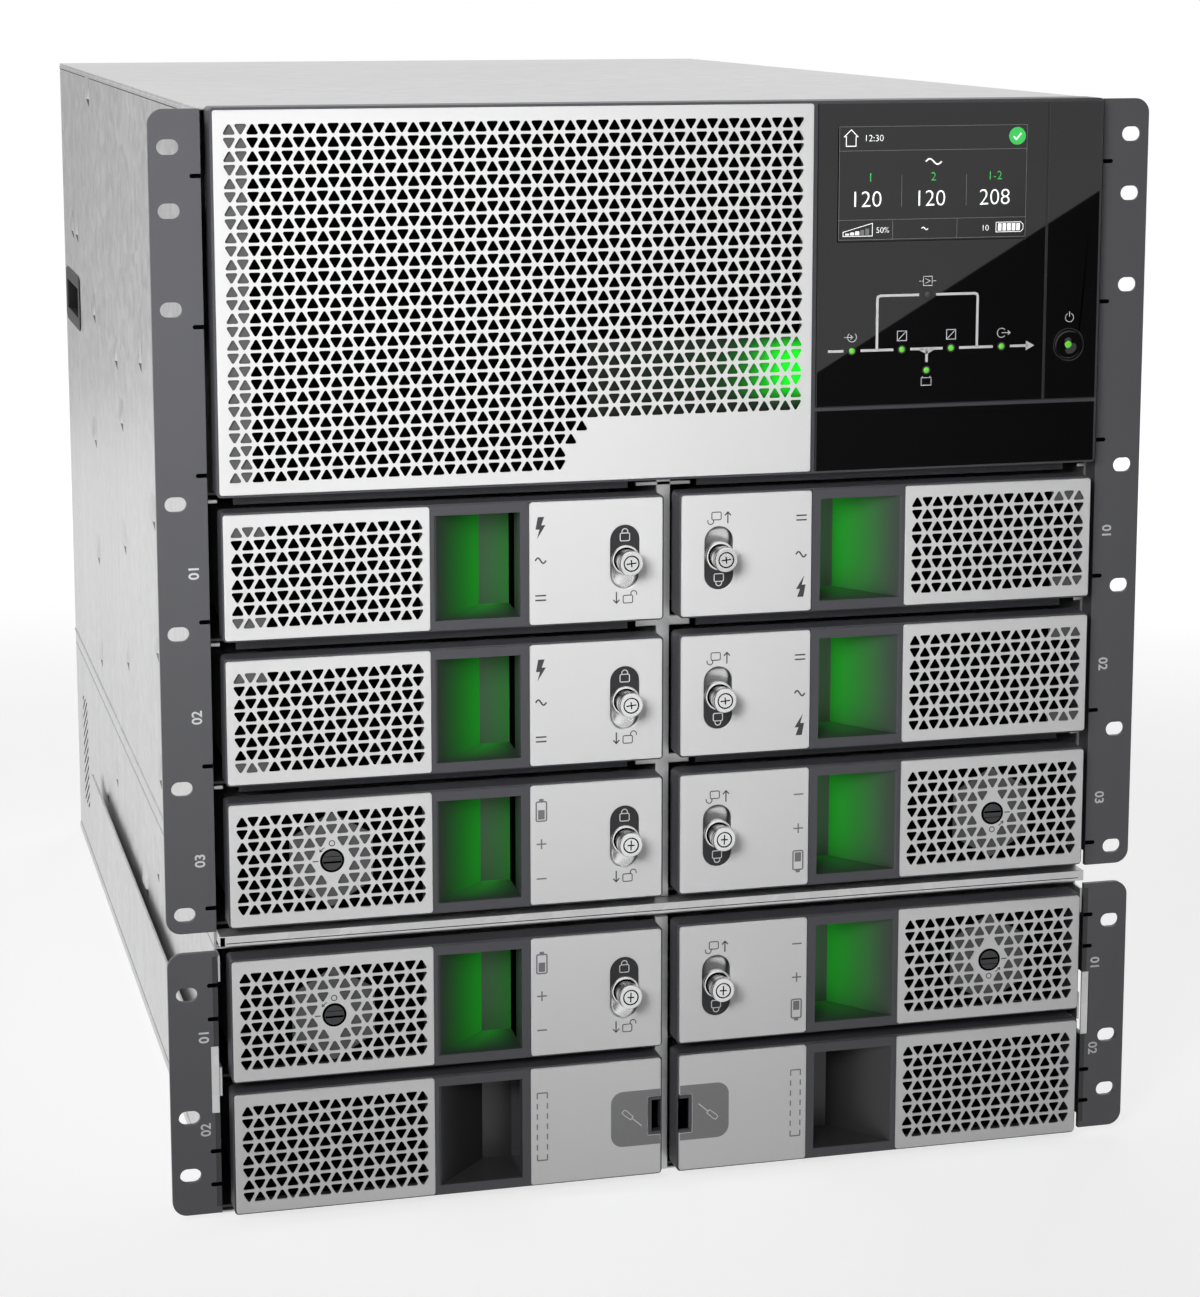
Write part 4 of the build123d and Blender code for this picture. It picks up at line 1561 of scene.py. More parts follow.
@dataclass
class ModuleFront:
    """The front of one bay: plates, pocket, lock and, on a battery, its switch.

    Attributes:
        name: The bay's name, also its body's unless it is a filler.
        side: The column that it stands in.
        kind: What it holds.
        box: The lowest and highest corner of its plates in metres.
        grille: The perforated plate.
        slot: The lock's slot.
        pocket: The finger pocket.
        switch: A battery's switch.
        pry: A filler's prying slot.
        grille_x: Middle of the perforated plate from the module's middle.
        lock_start: Where the lock plate starts, from the module's middle.
        lock_end: Where it ends.
        plate_sheet: Thickness of the lock plate.
        plate_margin: How much of the moulding's rim shows beyond the solid's own edge.
        plate_corner: Radius of the lock plate's corners.
        plate_bevel: Bevel of its outer edge.
        slot_bevel: Bevel of the slot's edge.
        label_x: Middle of the printed signs.
        label_line: Width of their lines.
    """

    name: str
    side: Side
    kind: Kind
    box: tuple[tuple[float, ...], tuple[float, ...]]
    grille: Perforation = field(default_factory=lambda: Perforation(95.6, 58.2, 17, 8))
    slot: LockSlot = field(default_factory=LockSlot)
    pocket: Pocket = field(default_factory=Pocket)
    switch: Switch = field(default_factory=Switch)
    pry: PrySlot = field(default_factory=PrySlot)
    grille_x: float = -56.05
    lock_start: float = 38.9
    lock_end: float = 104.0
    plate_sheet: float = 1.4
    plate_margin: float = 0.3
    plate_corner: float = 1.2
    plate_bevel: float = 0.25
    slot_bevel: float = 0.3
    label_x: float = 44.4
    label_line: float = 0.7

    @property
    def body(self) -> str:
        """The body that the front rides on."""
        return "chassis" if self.kind is Kind.FILLER else self.name

    def placed(self, surface: Surface) -> Surface:
        """A surface of a left module put in this bay, turned half round on the right."""
        low, high = np.array(self.box) / MM
        turned = surface.turned() if self.side is Side.RIGHT else surface
        middle = (low + high) / 2
        x = self.side.value * abs(middle[0])
        return turned.moved(x, low[1], middle[2])

    def add(
        self, shop: Workshop, part: str, shape: Surface, look: Look, body: str = "", replaces: str = ""
    ) -> None:
        """Make one piece of this bay.

        Args:
            shop: The workshop.
            part: The piece's name within the bay.
            shape: Its shape about the module's middle.
            look: Its finish.
            body: The body that it rides on, or the bay's own.
            replaces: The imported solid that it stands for, if any.
        """
        stands_for = (replaces,) if replaces else ()
        shop.piece(f"{self.name}_{part}", self.placed(shape), look, body or self.body, stands_for)

    def build(self, shop: Workshop) -> None:
        """Make every piece of the front."""
        solid = "filler_plates" if self.kind is Kind.FILLER else f"{self.name}_plates"
        self.build_grille(shop, solid)
        self.build_label(shop)
        if self.kind is Kind.FILLER:
            self.build_filler(shop, solid)
            return
        self.build_lock(shop, solid)
        self.build_pocket(shop)
        if self.kind is Kind.BATTERY:
            self.build_switch(shop)
        else:
            self.build_corners(shop)

    def build_grille(self, shop: Workshop, solid: str) -> None:
        """Make the perforated plate, bare where a battery has its switch, and the black sheet of painted
        shade behind it.
        """
        keep = np.ones((self.grille.rows, self.grille.columns), bool)
        if self.kind is Kind.BATTERY:
            keep[[2, 5], 8] = False
            keep[3:5, 7:10] = False
        plate = self.grille.plate(keep).moved(self.grille_x, 0.0, 0.0)
        self.add(shop, "grille", plate, Look.PLATE, replaces=solid)
        # Painted shade: a black sheet far behind the holes
        painted_shade_sheet = self.grille.painted_shade_sheet().moved(self.grille_x, 0.0, 0.0)
        self.add(shop, "filter", painted_shade_sheet, Look.PAINTED_DARK)

    def build_pocket(self, shop: Workshop) -> None:
        """Make the lit lining of the finger pocket, and the wall beside the lock in painted shade: dark
        paint, then black towards the back.
        """
        pocket = self.pocket
        self.add(shop, "pocket_lining", pocket.liner(), Look.POCKET)
        # Painted shade: the lock-side wall in dark paint, then black deeper in
        self.add(shop, "pocket_shaded_wall", pocket.side_wall(pocket.lip, pocket.dark), Look.RAIL)
        self.add(shop, "pocket_shadow", pocket.side_wall(pocket.dark, pocket.depth), Look.PAINTED_DARK)

    def build_label(self, shop: Workshop) -> None:
        """Print the plain signs of the bay's kind up the lock plate."""
        if self.kind is Kind.POWER:
            self.add(shop, "label", self.power_signs(), Look.PRINT_DARK)
        elif self.kind is Kind.BATTERY:
            self.add(shop, "label", self.battery_signs(), Look.PRINT_GREY)
        else:
            self.add(shop, "label", self.filler_sign(), Look.PRINT_GREY)

    def bar(self, half: float, z: float) -> Surface:
        """A level bar of a sign, half its length to each side."""
        path = path_of(self.label_x - half, z, self.label_x + half, z)
        return ribbon(path, self.label_line, 0.0, PRINT)

    def power_signs(self) -> Surface:
        """A bolt, a wave and two bars."""
        share = np.linspace(-1.0, 1.0, 21)
        bolt = path_of(-1.7, -5.2, 2.4, 1.3, 0.4, 1.3, 1.8, 5.2, -1.3, 5.2, -2.4, -0.7, -0.5, -0.7)
        wave = np.stack([self.label_x + 2.6 * share, 1.5 - 1.3 * np.sin(math.pi * share)], axis=-1)
        return join(
            printed(bolt + np.array([self.label_x, 17.0])),
            ribbon(wave, 0.75, 0.0, PRINT),
            self.bar(2.6, -15.2),
            self.bar(2.6, -17.4),
        )

    def battery_signs(self) -> Surface:
        """A half full cell, a plus and a minus."""
        shell = rounded_ring(rectangle(5.0, 9.4, self.label_x, 16.6), 0.7, 4)
        upright = path_of(self.label_x, -1.8, self.label_x, 3.0)
        return join(
            ribbon(shell, self.label_line, 0.0, PRINT, True),
            printed(rectangle(2.2, 1.2, self.label_x, 22.1)),
            printed(rectangle(3.2, 4.6, self.label_x, 15.0)),
            self.bar(2.4, 0.6),
            ribbon(upright, self.label_line, 0.0, OVERPRINT),
            self.bar(2.4, -16.4),
        )

    def filler_sign(self) -> Surface:
        """An empty bay: a tall box with dashed long sides."""
        edge = rectangle(5.0, 34.0, self.label_x, 0.0)
        ends = np.stack([edge, np.roll(edge, -1, axis=0)], axis=1)
        cuts = (np.arange(7)[:, None] + np.array([0.0, 0.55])) / 6.55
        dashes = [
            ribbon(start + cut[:, None] * (end - start), 0.6, 0.0, PRINT)
            for start, end in ends[[1, 3]] for cut in cuts
        ]
        return join(*dashes, *(ribbon(side, 0.6, 0.0, OVERPRINT) for side in ends[[0, 2]]))

    def build_lock(self, shop: Workshop, solid: str) -> None:
        """Make the lock plate, the slot's fittings, the knob and the signs.

        The plate is a closed band: rays from the slot's middle give matching rings on the slot and on the
        outline, and the band runs from one to the other in front and back again behind.
        """
        middle = np.array([(self.lock_start + self.lock_end) / 2, 0.0])
        half = np.array([(self.lock_end - self.lock_start) / 2 - self.plate_margin, self.grille.height / 2])
        origin = np.array([self.slot.x, self.slot.rise]) - middle
        corners = rectangle(*(2 * (half - self.plate_corner))) - origin
        tips = np.arctan2(corners[:, 1], corners[:, 0])[:, None] + np.radians([-1.2, 0.0, 1.2])
        angle = np.sort(np.concatenate([np.linspace(-math.pi, math.pi, 96, endpoint=False), tips.ravel()]))
        full = middle + ray_to_rectangle(origin, angle, half, self.plate_corner)
        face_corner = self.plate_corner - self.plate_bevel
        face = middle + ray_to_rectangle(origin, angle, half - self.plate_bevel, face_corner)
        hole, lip = self.slot.ring(angle, 0.0), self.slot.ring(angle, self.slot_bevel)
        rings = [
            at_depth(hole, self.plate_sheet), at_depth(hole, self.slot_bevel), at_depth(lip, 0.0),
            at_depth(face, 0.0), at_depth(full, self.plate_bevel), at_depth(full, self.plate_sheet),
            at_depth(hole, self.plate_sheet),
        ]
        self.add(shop, "lock_plate", grid(np.stack(rings), wrap=True), Look.PLATE, replaces=solid)
        self.add(shop, "slot_scoop", self.slot.scoop(), Look.BRIGHT)
        self.add(shop, "slot_cap", self.slot.cap(), Look.CAP)
        self.add(shop, "locked_sign", self.slot.locked_sign(), Look.PRINT_PALE)
        self.add(shop, "unlock_sign", self.slot.unlock_sign(), Look.PRINT_DARK)
        lock = f"{self.name}_lock"
        self.add(shop, "knob", self.slot.knob(), Look.BRIGHT, lock, lock)
        tilt = 5.0 if self.kind is Kind.POWER else 88.0
        # The dark cross, with painted shade in the knob's grooves and a painted dark reflection round its
        # barrel
        self.add(shop, "knob_cross", self.slot.cross(tilt), Look.PAINTED_DARK, lock)

    def build_switch(self, shop: Workshop) -> None:
        """Make the battery's switch, the grey boss behind it and its printed signs."""
        body = f"{self.name}_switch"
        boss = self.grille.backing(self.switch.boss())
        for part, shape, look, rides_on, solid in (
            ("switch_boss", boss, Look.BACKING, "", ""),
            ("switch_knob", self.switch.knob(), Look.SWITCH, body, body),
            ("switch_bar_shadows", self.switch.bar_shadows(), Look.PAINTED_DARK, body, ""),
            ("switch_gap", self.switch.gap(), Look.PAINTED_DARK, "", ""),
            ("switch_signs", self.switch.signs(), Look.PRINT_DARK, "", ""),
        ):
            self.add(shop, part, shape.moved(self.grille_x, 0.0, 0.0), look, rides_on, solid)

    def build_corners(self, shop: Workshop) -> None:
        """Make the grey lugs that show through the outer corner holes of a power module."""
        centres = self.grille.centres()
        parts = []
        for row in (0, self.grille.rows - 1):
            x, z = centres[row, 1] + np.array([self.grille_x, 0.0])
            ring = rounded_ring(rectangle(3 * self.grille.pitch_x, self.grille.pitch_z, x, z), 0.4, 3)
            parts.append(self.grille.backing(ring))
        self.add(shop, "corner_lugs", join(*parts), Look.BACKING)

    def build_filler(self, shop: Workshop, solid: str) -> None:
        """Make a filler's plain plate with its prying slot, the patch and sign beside it, and the pocket
        lined with dark paint as painted shade.
        """
        half = self.grille.height / 2
        corners = self.pry.outline(self.lock_start, -half, half, 0.0)
        radii = np.array([1.2, 1.2, 0.4, 0.6, 0.6, 0.4, 1.2, 1.2])
        plate = pressed_plate(rounded_ring(corners, radii, 5), 0.0, self.plate_sheet, self.plate_bevel)
        self.add(shop, "plain_plate", plate, Look.PLATE, replaces=solid)
        self.add(shop, "pry_patch", self.pry.patch(), Look.PRINT_MID)
        self.add(shop, "pry_rim", self.pry.lining(self.plate_sheet), Look.FASCIA)
        self.add(shop, "pry_shadow", self.pry.shadow(), Look.PAINTED_DARK)
        # Painted shade: the filler's pocket lined in dark paint
        self.add(shop, "pocket_lining", self.pocket.liner(), Look.RAIL)
        self.add(shop, "pry_sign", self.pry.sign(), Look.PRINT_PALE)


@dataclass
class Header:
    """The header: perforated plate, the lights behind it and the panels beside it.

    Attributes:
        grille: The perforated plate.
        bare_rows: Rows at the bottom that stop at a slanted line.
        bare_low: Where the bottom row stops.
        bare_high: Where the highest of them stops.
        glow_left: Where the green light behind the holes starts.
        glow_top: Upper edge of the light.
        glow_bottom: Lower edge of the light.
        glow_middle: Height at which it is brightest.
        glow_y: How far behind the plate's face it lies.
        bracket_height: Height of the grey bracket behind the two leftmost columns of holes.
    """

    grille: Perforation = field(
        default_factory=lambda: Perforation(281.6, 173.9, 52, 27, shift_x=-0.2, shift_z=-0.25)
    )
    bare_rows: int = 4
    bare_low: float = -54.0
    bare_high: float = -40.0
    glow_left: float = -40.0
    glow_top: float = 416.5
    glow_bottom: float = 377.5
    glow_middle: float = 400.0
    glow_y: float = 3.0
    bracket_height: float = 165.0

    def build(self, shop: Workshop) -> None:
        """Make the plate and what shows through it, and dress the solids around."""
        low, high = np.array(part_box("header_grille")) / MM
        middle = (low + high) / 2
        centres = self.grille.centres()
        keep = np.ones(centres.shape[:2], bool)
        limit = np.linspace(self.bare_high, self.bare_low, self.bare_rows)[:, None]
        keep[-self.bare_rows:] = centres[-self.bare_rows:, :, 0] + middle[0] < limit
        plate = self.grille.plate(keep).moved(middle[0], low[1], middle[2])
        shop.piece("header_plate", plate, Look.PLATE, replaces=("header_grille",))
        shop.piece("header_light", self.light(low, high), Look.LIGHT)
        x = centres[0, :2, 0].mean() + middle[0]
        ring = rectangle(2 * self.grille.pitch_x, self.bracket_height, x, middle[2])
        shop.piece("header_bracket", self.grille.backing(ring).moved(0.0, low[1], 0.0), Look.BACKING)
        # Painted shade: a black sheet far behind the header's holes
        painted_shade_sheet = self.grille.painted_shade_sheet().moved(middle[0], low[1], middle[2])
        shop.piece("header_filter", painted_shade_sheet, Look.PAINTED_DARK)
        shop.dress("header_bezel", Look.FASCIA, 0.5)
        shop.dress("lower_panel", Look.GLASS, 0.5)
        shop.dress("display_panel", Look.GLASS, 0.5)

    def light(self, low: Array, high: Array) -> Surface:
        """The light behind the lower right holes, a sheet with a glow of its own.

        To the left the glow falls off as a bell with a faint tail, and up and down as a flat-topped bell.

        Args:
            low: The plate's lowest corner.
            high: Its highest corner.

        Returns:
            The sheet, a little behind the plate.
        """
        x = np.linspace(self.glow_left, high[0] - 3.0, 40)
        z = np.linspace(self.glow_bottom, self.glow_top, 24)
        across, up = np.meshgrid(x, z)
        sheet = grid(at_depth(np.stack([across, up], axis=-1), low[1] + self.glow_y))
        away = np.maximum(high[0] - 8.0 - across, 0.0)
        fall = 0.85 * np.exp(-((away / 17.0) ** 2)) + 0.15 * np.exp(-away / 20.0)
        bell = np.exp(-(((up - self.glow_middle) / 12.5) ** 4))
        sheet.glow = (fall * bell).ravel()
        return sheet


@dataclass
class Display:
    """Screen, flow diagram and power button on the display glass.

    Attributes:
        screen_x: Middle of the screen.
        screen_z: Height of its middle.
        screen_width: Width of the screen.
        screen_height: Height of the screen.
        title_z: Height of the line below the screen's title row.
        foot_z: Height of the line above its foot row.
        thin: Width of the screen's dividing lines.
        numbers: The white numbers, with their height and place.
        labels: The green numbers of the phases, with their height and place.
        bus_z: Height of the diagram's main line.
        loop_z: Height of its upper line.
        line: Width of the diagram's lines.
        pen: Width of its signs' lines.
        sign_z: Height of the signs above the main line.
        input_x: Middle of the lamp at the input.
        first_x: Middle of the lamp at the first converter.
        second_x: Middle of the lamp at the second converter.
        output_x: Middle of the lamp at the output.
        store_x: Middle of the battery's lamp and of the one on the upper line.
        store_z: Height of the battery's lamp.
        dome_rings: Radius and depth of a lamp's rings.
        rim_rings: The same for the dark rim round it.
        groove_x: Where a groove divides the glass.
        button_x: Middle of the power button.
        button_z: Height of the power button.
        button_rings: Radius and depth of its rings.
        button_dome: The same for its lamp.
        face: Depth of the glass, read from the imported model.
    """

    screen_x: float = 127.85
    screen_z: float = 486.45
    screen_width: float = 94.7
    screen_height: float = 53.7
    title_z: float = 501.7
    foot_z: float = 469.2
    thin: float = 0.22
    numbers: tuple[tuple[str, float, float, float], ...] = (
        ("120", 7.3, 95.2, 479.0), ("120", 7.3, 127.2, 479.0), ("208", 7.3, 159.0, 479.0),
        ("50%", 2.7, 102.8, 464.3), ("10", 2.7, 154.8, 464.3), ("12:30", 3.0, 98.2, 507.6),
    )
    labels: tuple[tuple[str, float, float, float], ...] = (
        ("1", 3.9, 96.4, 489.2), ("2", 3.9, 127.9, 489.2), ("1-2", 3.9, 159.4, 489.2),
    )
    bus_z: float = 407.2
    loop_z: float = 433.1
    line: float = 1.25
    pen: float = 0.35
    sign_z: float = 413.7
    input_x: float = 88.2
    first_x: float = 113.3
    second_x: float = 138.2
    output_x: float = 164.0
    store_x: float = 125.9
    store_z: float = 396.9
    dome_rings: Pairs = ((0.25, -0.75), (0.8, -0.65), (1.25, -0.4), (1.5, -0.05), (1.5, 0.2))
    rim_rings: Pairs = ((1.5, -0.12), (2.1, -0.10), (2.1, 0.2))
    groove_x: float = 185.8
    button_x: float = 198.8
    button_z: float = 407.0
    button_rings: Pairs = (
        (1.9, 0.55), (2.2, 0.50), (4.6, 0.34), (6.2, 0.30), (6.7, 0.36), (6.95, 0.6), (6.95, 5.8),
    )
    button_dome: Pairs = ((0.3, 0.15), (0.9, 0.2), (1.45, 0.35), (1.8, 0.6), (1.8, 0.9))
    face: float = 0.0

    def build(self, shop: Workshop) -> None:
        """Make every sign and lamp of the display."""
        self.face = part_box("display_panel")[0][1] / MM
        self.build_screen(shop)
        self.build_numbers(shop)
        self.build_diagram(shop)
        self.build_lamps(shop)
        self.build_groove(shop)
        self.build_button(shop)

    def lines(self, width: float, *paths: Array, closed: bool = False) -> Surface:
        """Several raised lines on the glass as one surface."""
        return join(*(ribbon(path, width, self.face, PRINT, closed) for path in paths))

    def block(self, width: float, height: float, x: float, z: float) -> Surface:
        """A small raised rectangle on the glass."""
        return printed(rectangle(width, height, x, z), self.face)

    def wave(self, width: float, x: float, z: float, half: float, swing: float) -> Surface:
        """One full sine wave as a raised line, high on the left and low on the right."""
        share = np.linspace(-1.0, 1.0, 21)
        return self.lines(width, np.stack([x + half * share, z - swing * np.sin(math.pi * share)], axis=-1))

    def number(self, text: str, height: float, x: float, z: float) -> Surface:
        """A plain number on the glass."""
        return digits(text, height, self.face, PRINT, -0.012).moved(x, 0.0, z)

    def build_screen(self, shop: Workshop) -> None:
        """Make the screen's ground, its frame and its dividing lines."""
        ground = rectangle(self.screen_width - 0.4, self.screen_height - 0.4, self.screen_x, self.screen_z)
        shop.piece("screen", pressed_plate(ground, self.face + 0.12, 0.3, 0.05), Look.SCREEN)
        left, right = self.screen_x - self.screen_width / 2, self.screen_x + self.screen_width / 2
        bottom = self.screen_z - self.screen_height / 2
        outline = rectangle(self.screen_width - 0.6, self.screen_height - 0.6, self.screen_x, self.screen_z)
        dividers = self.lines(
            self.thin,
            path_of(left, self.title_z, right, self.title_z), path_of(left, self.foot_z, right, self.foot_z),
            path_of(112.0, 475.0, 112.0, 490.0), path_of(144.5, 475.0, 144.5, 490.0),
            path_of(107.7, bottom, 107.7, self.foot_z), path_of(140.1, bottom, 140.1, self.foot_z),
        )
        spent = [self.block(1.9, 2.4 + 0.6 * i, 92.6 + 2.5 * i, 463.3 + 0.3 * i) for i in range(2)]
        frame = join(self.lines(self.thin, outline, closed=True), dividers, *spent)
        shop.piece("screen_frame", frame, Look.SCREEN_GREY)

    def build_numbers(self, shop: Workshop) -> None:
        """Make the screen's signs and plain numbers, and the green disc with its tick in the corner."""
        house = path_of(
            83.2, 508.4, 86.5, 511.6, 89.8, 508.4, 88.9, 508.4, 88.9, 503.9, 84.1, 503.9, 84.1, 508.4
        )
        wedge = path_of(83.0, 461.6, 97.6, 461.6, 97.6, 467.6, 83.0, 463.6)
        cell = path_of(160.0, 462.2, 172.6, 462.2, 173.8, 463.4, 173.8, 465.6, 172.6, 466.8, 160.0, 466.8)
        white = [
            self.lines(0.4, house, closed=True),
            self.wave(0.7, self.screen_x, 496.2, 4.0, 1.3),
            self.wave(0.45, 123.9, 464.6, 1.6, 0.6),
            *(self.block(1.9, 0.8 + 0.5 * i, 85.1 + 2.5 * i, 462.5 + 0.25 * i) for i in range(3)),
            self.lines(0.28, wedge, closed=True),
            self.lines(0.3, cell, closed=True),
            *(self.block(1.75, 3.4, 161.9 + 2.35 * i, 464.5) for i in range(5)),
            *(self.number(*entry) for entry in self.numbers),
        ]
        shop.piece("screen_signs", join(*white), Look.SCREEN_WHITE)
        x, z = self.screen_x + self.screen_width / 2 - 5.2, self.screen_z + self.screen_height / 2 - 5.6
        green = [
            *(self.number(*entry) for entry in self.labels),
            lathe(((0.3, -PRINT), (4.2, -PRINT), (4.2, 0.1)), x, z, y=self.face),
        ]
        shop.piece("screen_labels", join(*green), Look.SCREEN_GREEN)
        tick = path_of(x - 2.0, z - 0.2, x - 0.6, z - 1.6, x + 1.9, z + 1.3)
        shop.piece("screen_tick", ribbon(tick, 0.7, self.face - PRINT, OVERPRINT), Look.SCREEN_WHITE)

    def build_diagram(self, shop: Workshop) -> None:
        """Make the power flow diagram's lines and arrow heads, and the signs beside its lamps."""
        top, bus, store = self.loop_z, self.bus_z, self.store_x
        spans = ((76.2, 84.0), (92.6, 109.0), (117.6, 134.0), (142.4, 159.6), (168.4, 177.5))
        paths = [path_of(start, bus, end, bus) for start, end in spans]
        paths += [
            path_of(100.7, bus, 100.7, top - 1.5, 101.1, top - 0.4, 102.2, top, 121.6, top),
            path_of(130.2, top, 149.9, top, 151.0, top - 0.4, 151.4, top - 1.5, 151.4, bus),
            path_of(store, bus, store, 400.8),
            path_of(122.6, bus - 0.2, store, bus - 1.9, 129.2, bus - 0.2),
        ]
        head = printed(path_of(176.6, bus - 2.3, 181.0, bus, 176.6, bus + 2.3), self.face)
        shop.piece("flow_lines", join(self.lines(self.line, *paths), head), Look.PRINT_PALE)
        z, power_x = self.sign_z, self.button_x + 0.1
        signs = [
            self.lines(self.pen, arc(self.input_x, z, 2.2, 130.0, 410.0, 20)),
            self.lines(self.pen, arc(self.output_x, z, 2.2, 40.0, 320.0, 20)),
            self.lines(self.pen, rectangle(5.0, 3.6, store, 391.4), closed=True),
            self.lines(self.pen, rectangle(4.4, 4.4, store, 439.6), closed=True),
            self.lines(0.3, path_of(121.6, 439.6, 123.7, 439.6), path_of(128.1, 439.6, 130.2, 439.6)),
            self.lines(0.3, path_of(124.7, 440.7, 127.1, 439.6, 124.7, 438.5)),
            self.lines(self.pen, arc(power_x, 420.1, 2.1, 115.0, 425.0, 20)),
            self.lines(0.4, path_of(power_x, 420.5, power_x, 423.0)),
        ]
        for x in (self.input_x + 0.4, self.output_x + 4.4):
            barb = path_of(x - 1.2, z + 1.0, x, z, x - 1.2, z - 1.0)
            signs.append(self.lines(self.pen, path_of(x - 4.4, z, x, z), barb))
        for x in (self.first_x, self.second_x):
            signs.append(self.lines(self.pen, rectangle(4.6, 4.6, x, z), closed=True))
            signs.append(self.lines(0.3, path_of(x - 2.3, z - 2.3, x + 2.3, z + 2.3)))
        for x in (store - 1.9, store + 1.9):
            signs.append(self.lines(self.pen, path_of(x, 393.2, x, 394.0)))
        shop.piece("flow_signs", join(*signs), Look.PRINT_PALE)

    def build_lamps(self, shop: Workshop) -> None:
        """Make the diagram's lamps, five lit and one spent, with a dark rim round each."""
        lit = [(x, self.bus_z) for x in (self.input_x, self.first_x, self.second_x, self.output_x)]
        lit.append((self.store_x, self.store_z))
        spent = (self.store_x, self.loop_z)
        rims = join(*(lathe(self.rim_rings, *place, 32, self.face) for place in (*lit, spent)))
        shop.piece("lamp_rims", rims, Look.BLACK)
        lamps = join(*(lathe(self.dome_rings, *place, 24, self.face) for place in lit))
        shop.piece("lamps", lamps, Look.LAMP)
        shop.piece("spent_lamp", lathe(self.dome_rings, *spent, 24, self.face), Look.SPENT_LAMP)

    def build_groove(self, shop: Workshop) -> None:
        """Make the groove that divides the glass, with a painted highlight along its right edge."""
        low, high = np.array(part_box("display_panel")) / MM
        groove = path_of(self.groove_x, low[2] + 0.6, self.groove_x, high[2] - 0.6)
        shop.piece("glass_groove", ribbon(groove, 0.9, self.face, 0.02), Look.BLACK)
        # Painted highlight: a pale line beside the groove
        edge = groove + np.array([0.75, 0.0])
        shop.piece("glass_groove_highlight", ribbon(edge, 0.2, self.face, 0.04), Look.SPENT_LAMP)

    def build_button(self, shop: Workshop) -> None:
        """Make the round power button, dished towards its lamp, and the lamp."""
        button = lathe(self.button_rings, self.button_x, self.button_z, 64, self.face)
        shop.piece("button_cap", button, Look.GLASS, "power_button", ("power_button",))
        lamp = lathe(self.button_dome, self.button_x, self.button_z, 32, self.face)
        shop.piece("button_lamp", lamp, Look.LAMP, "power_button")


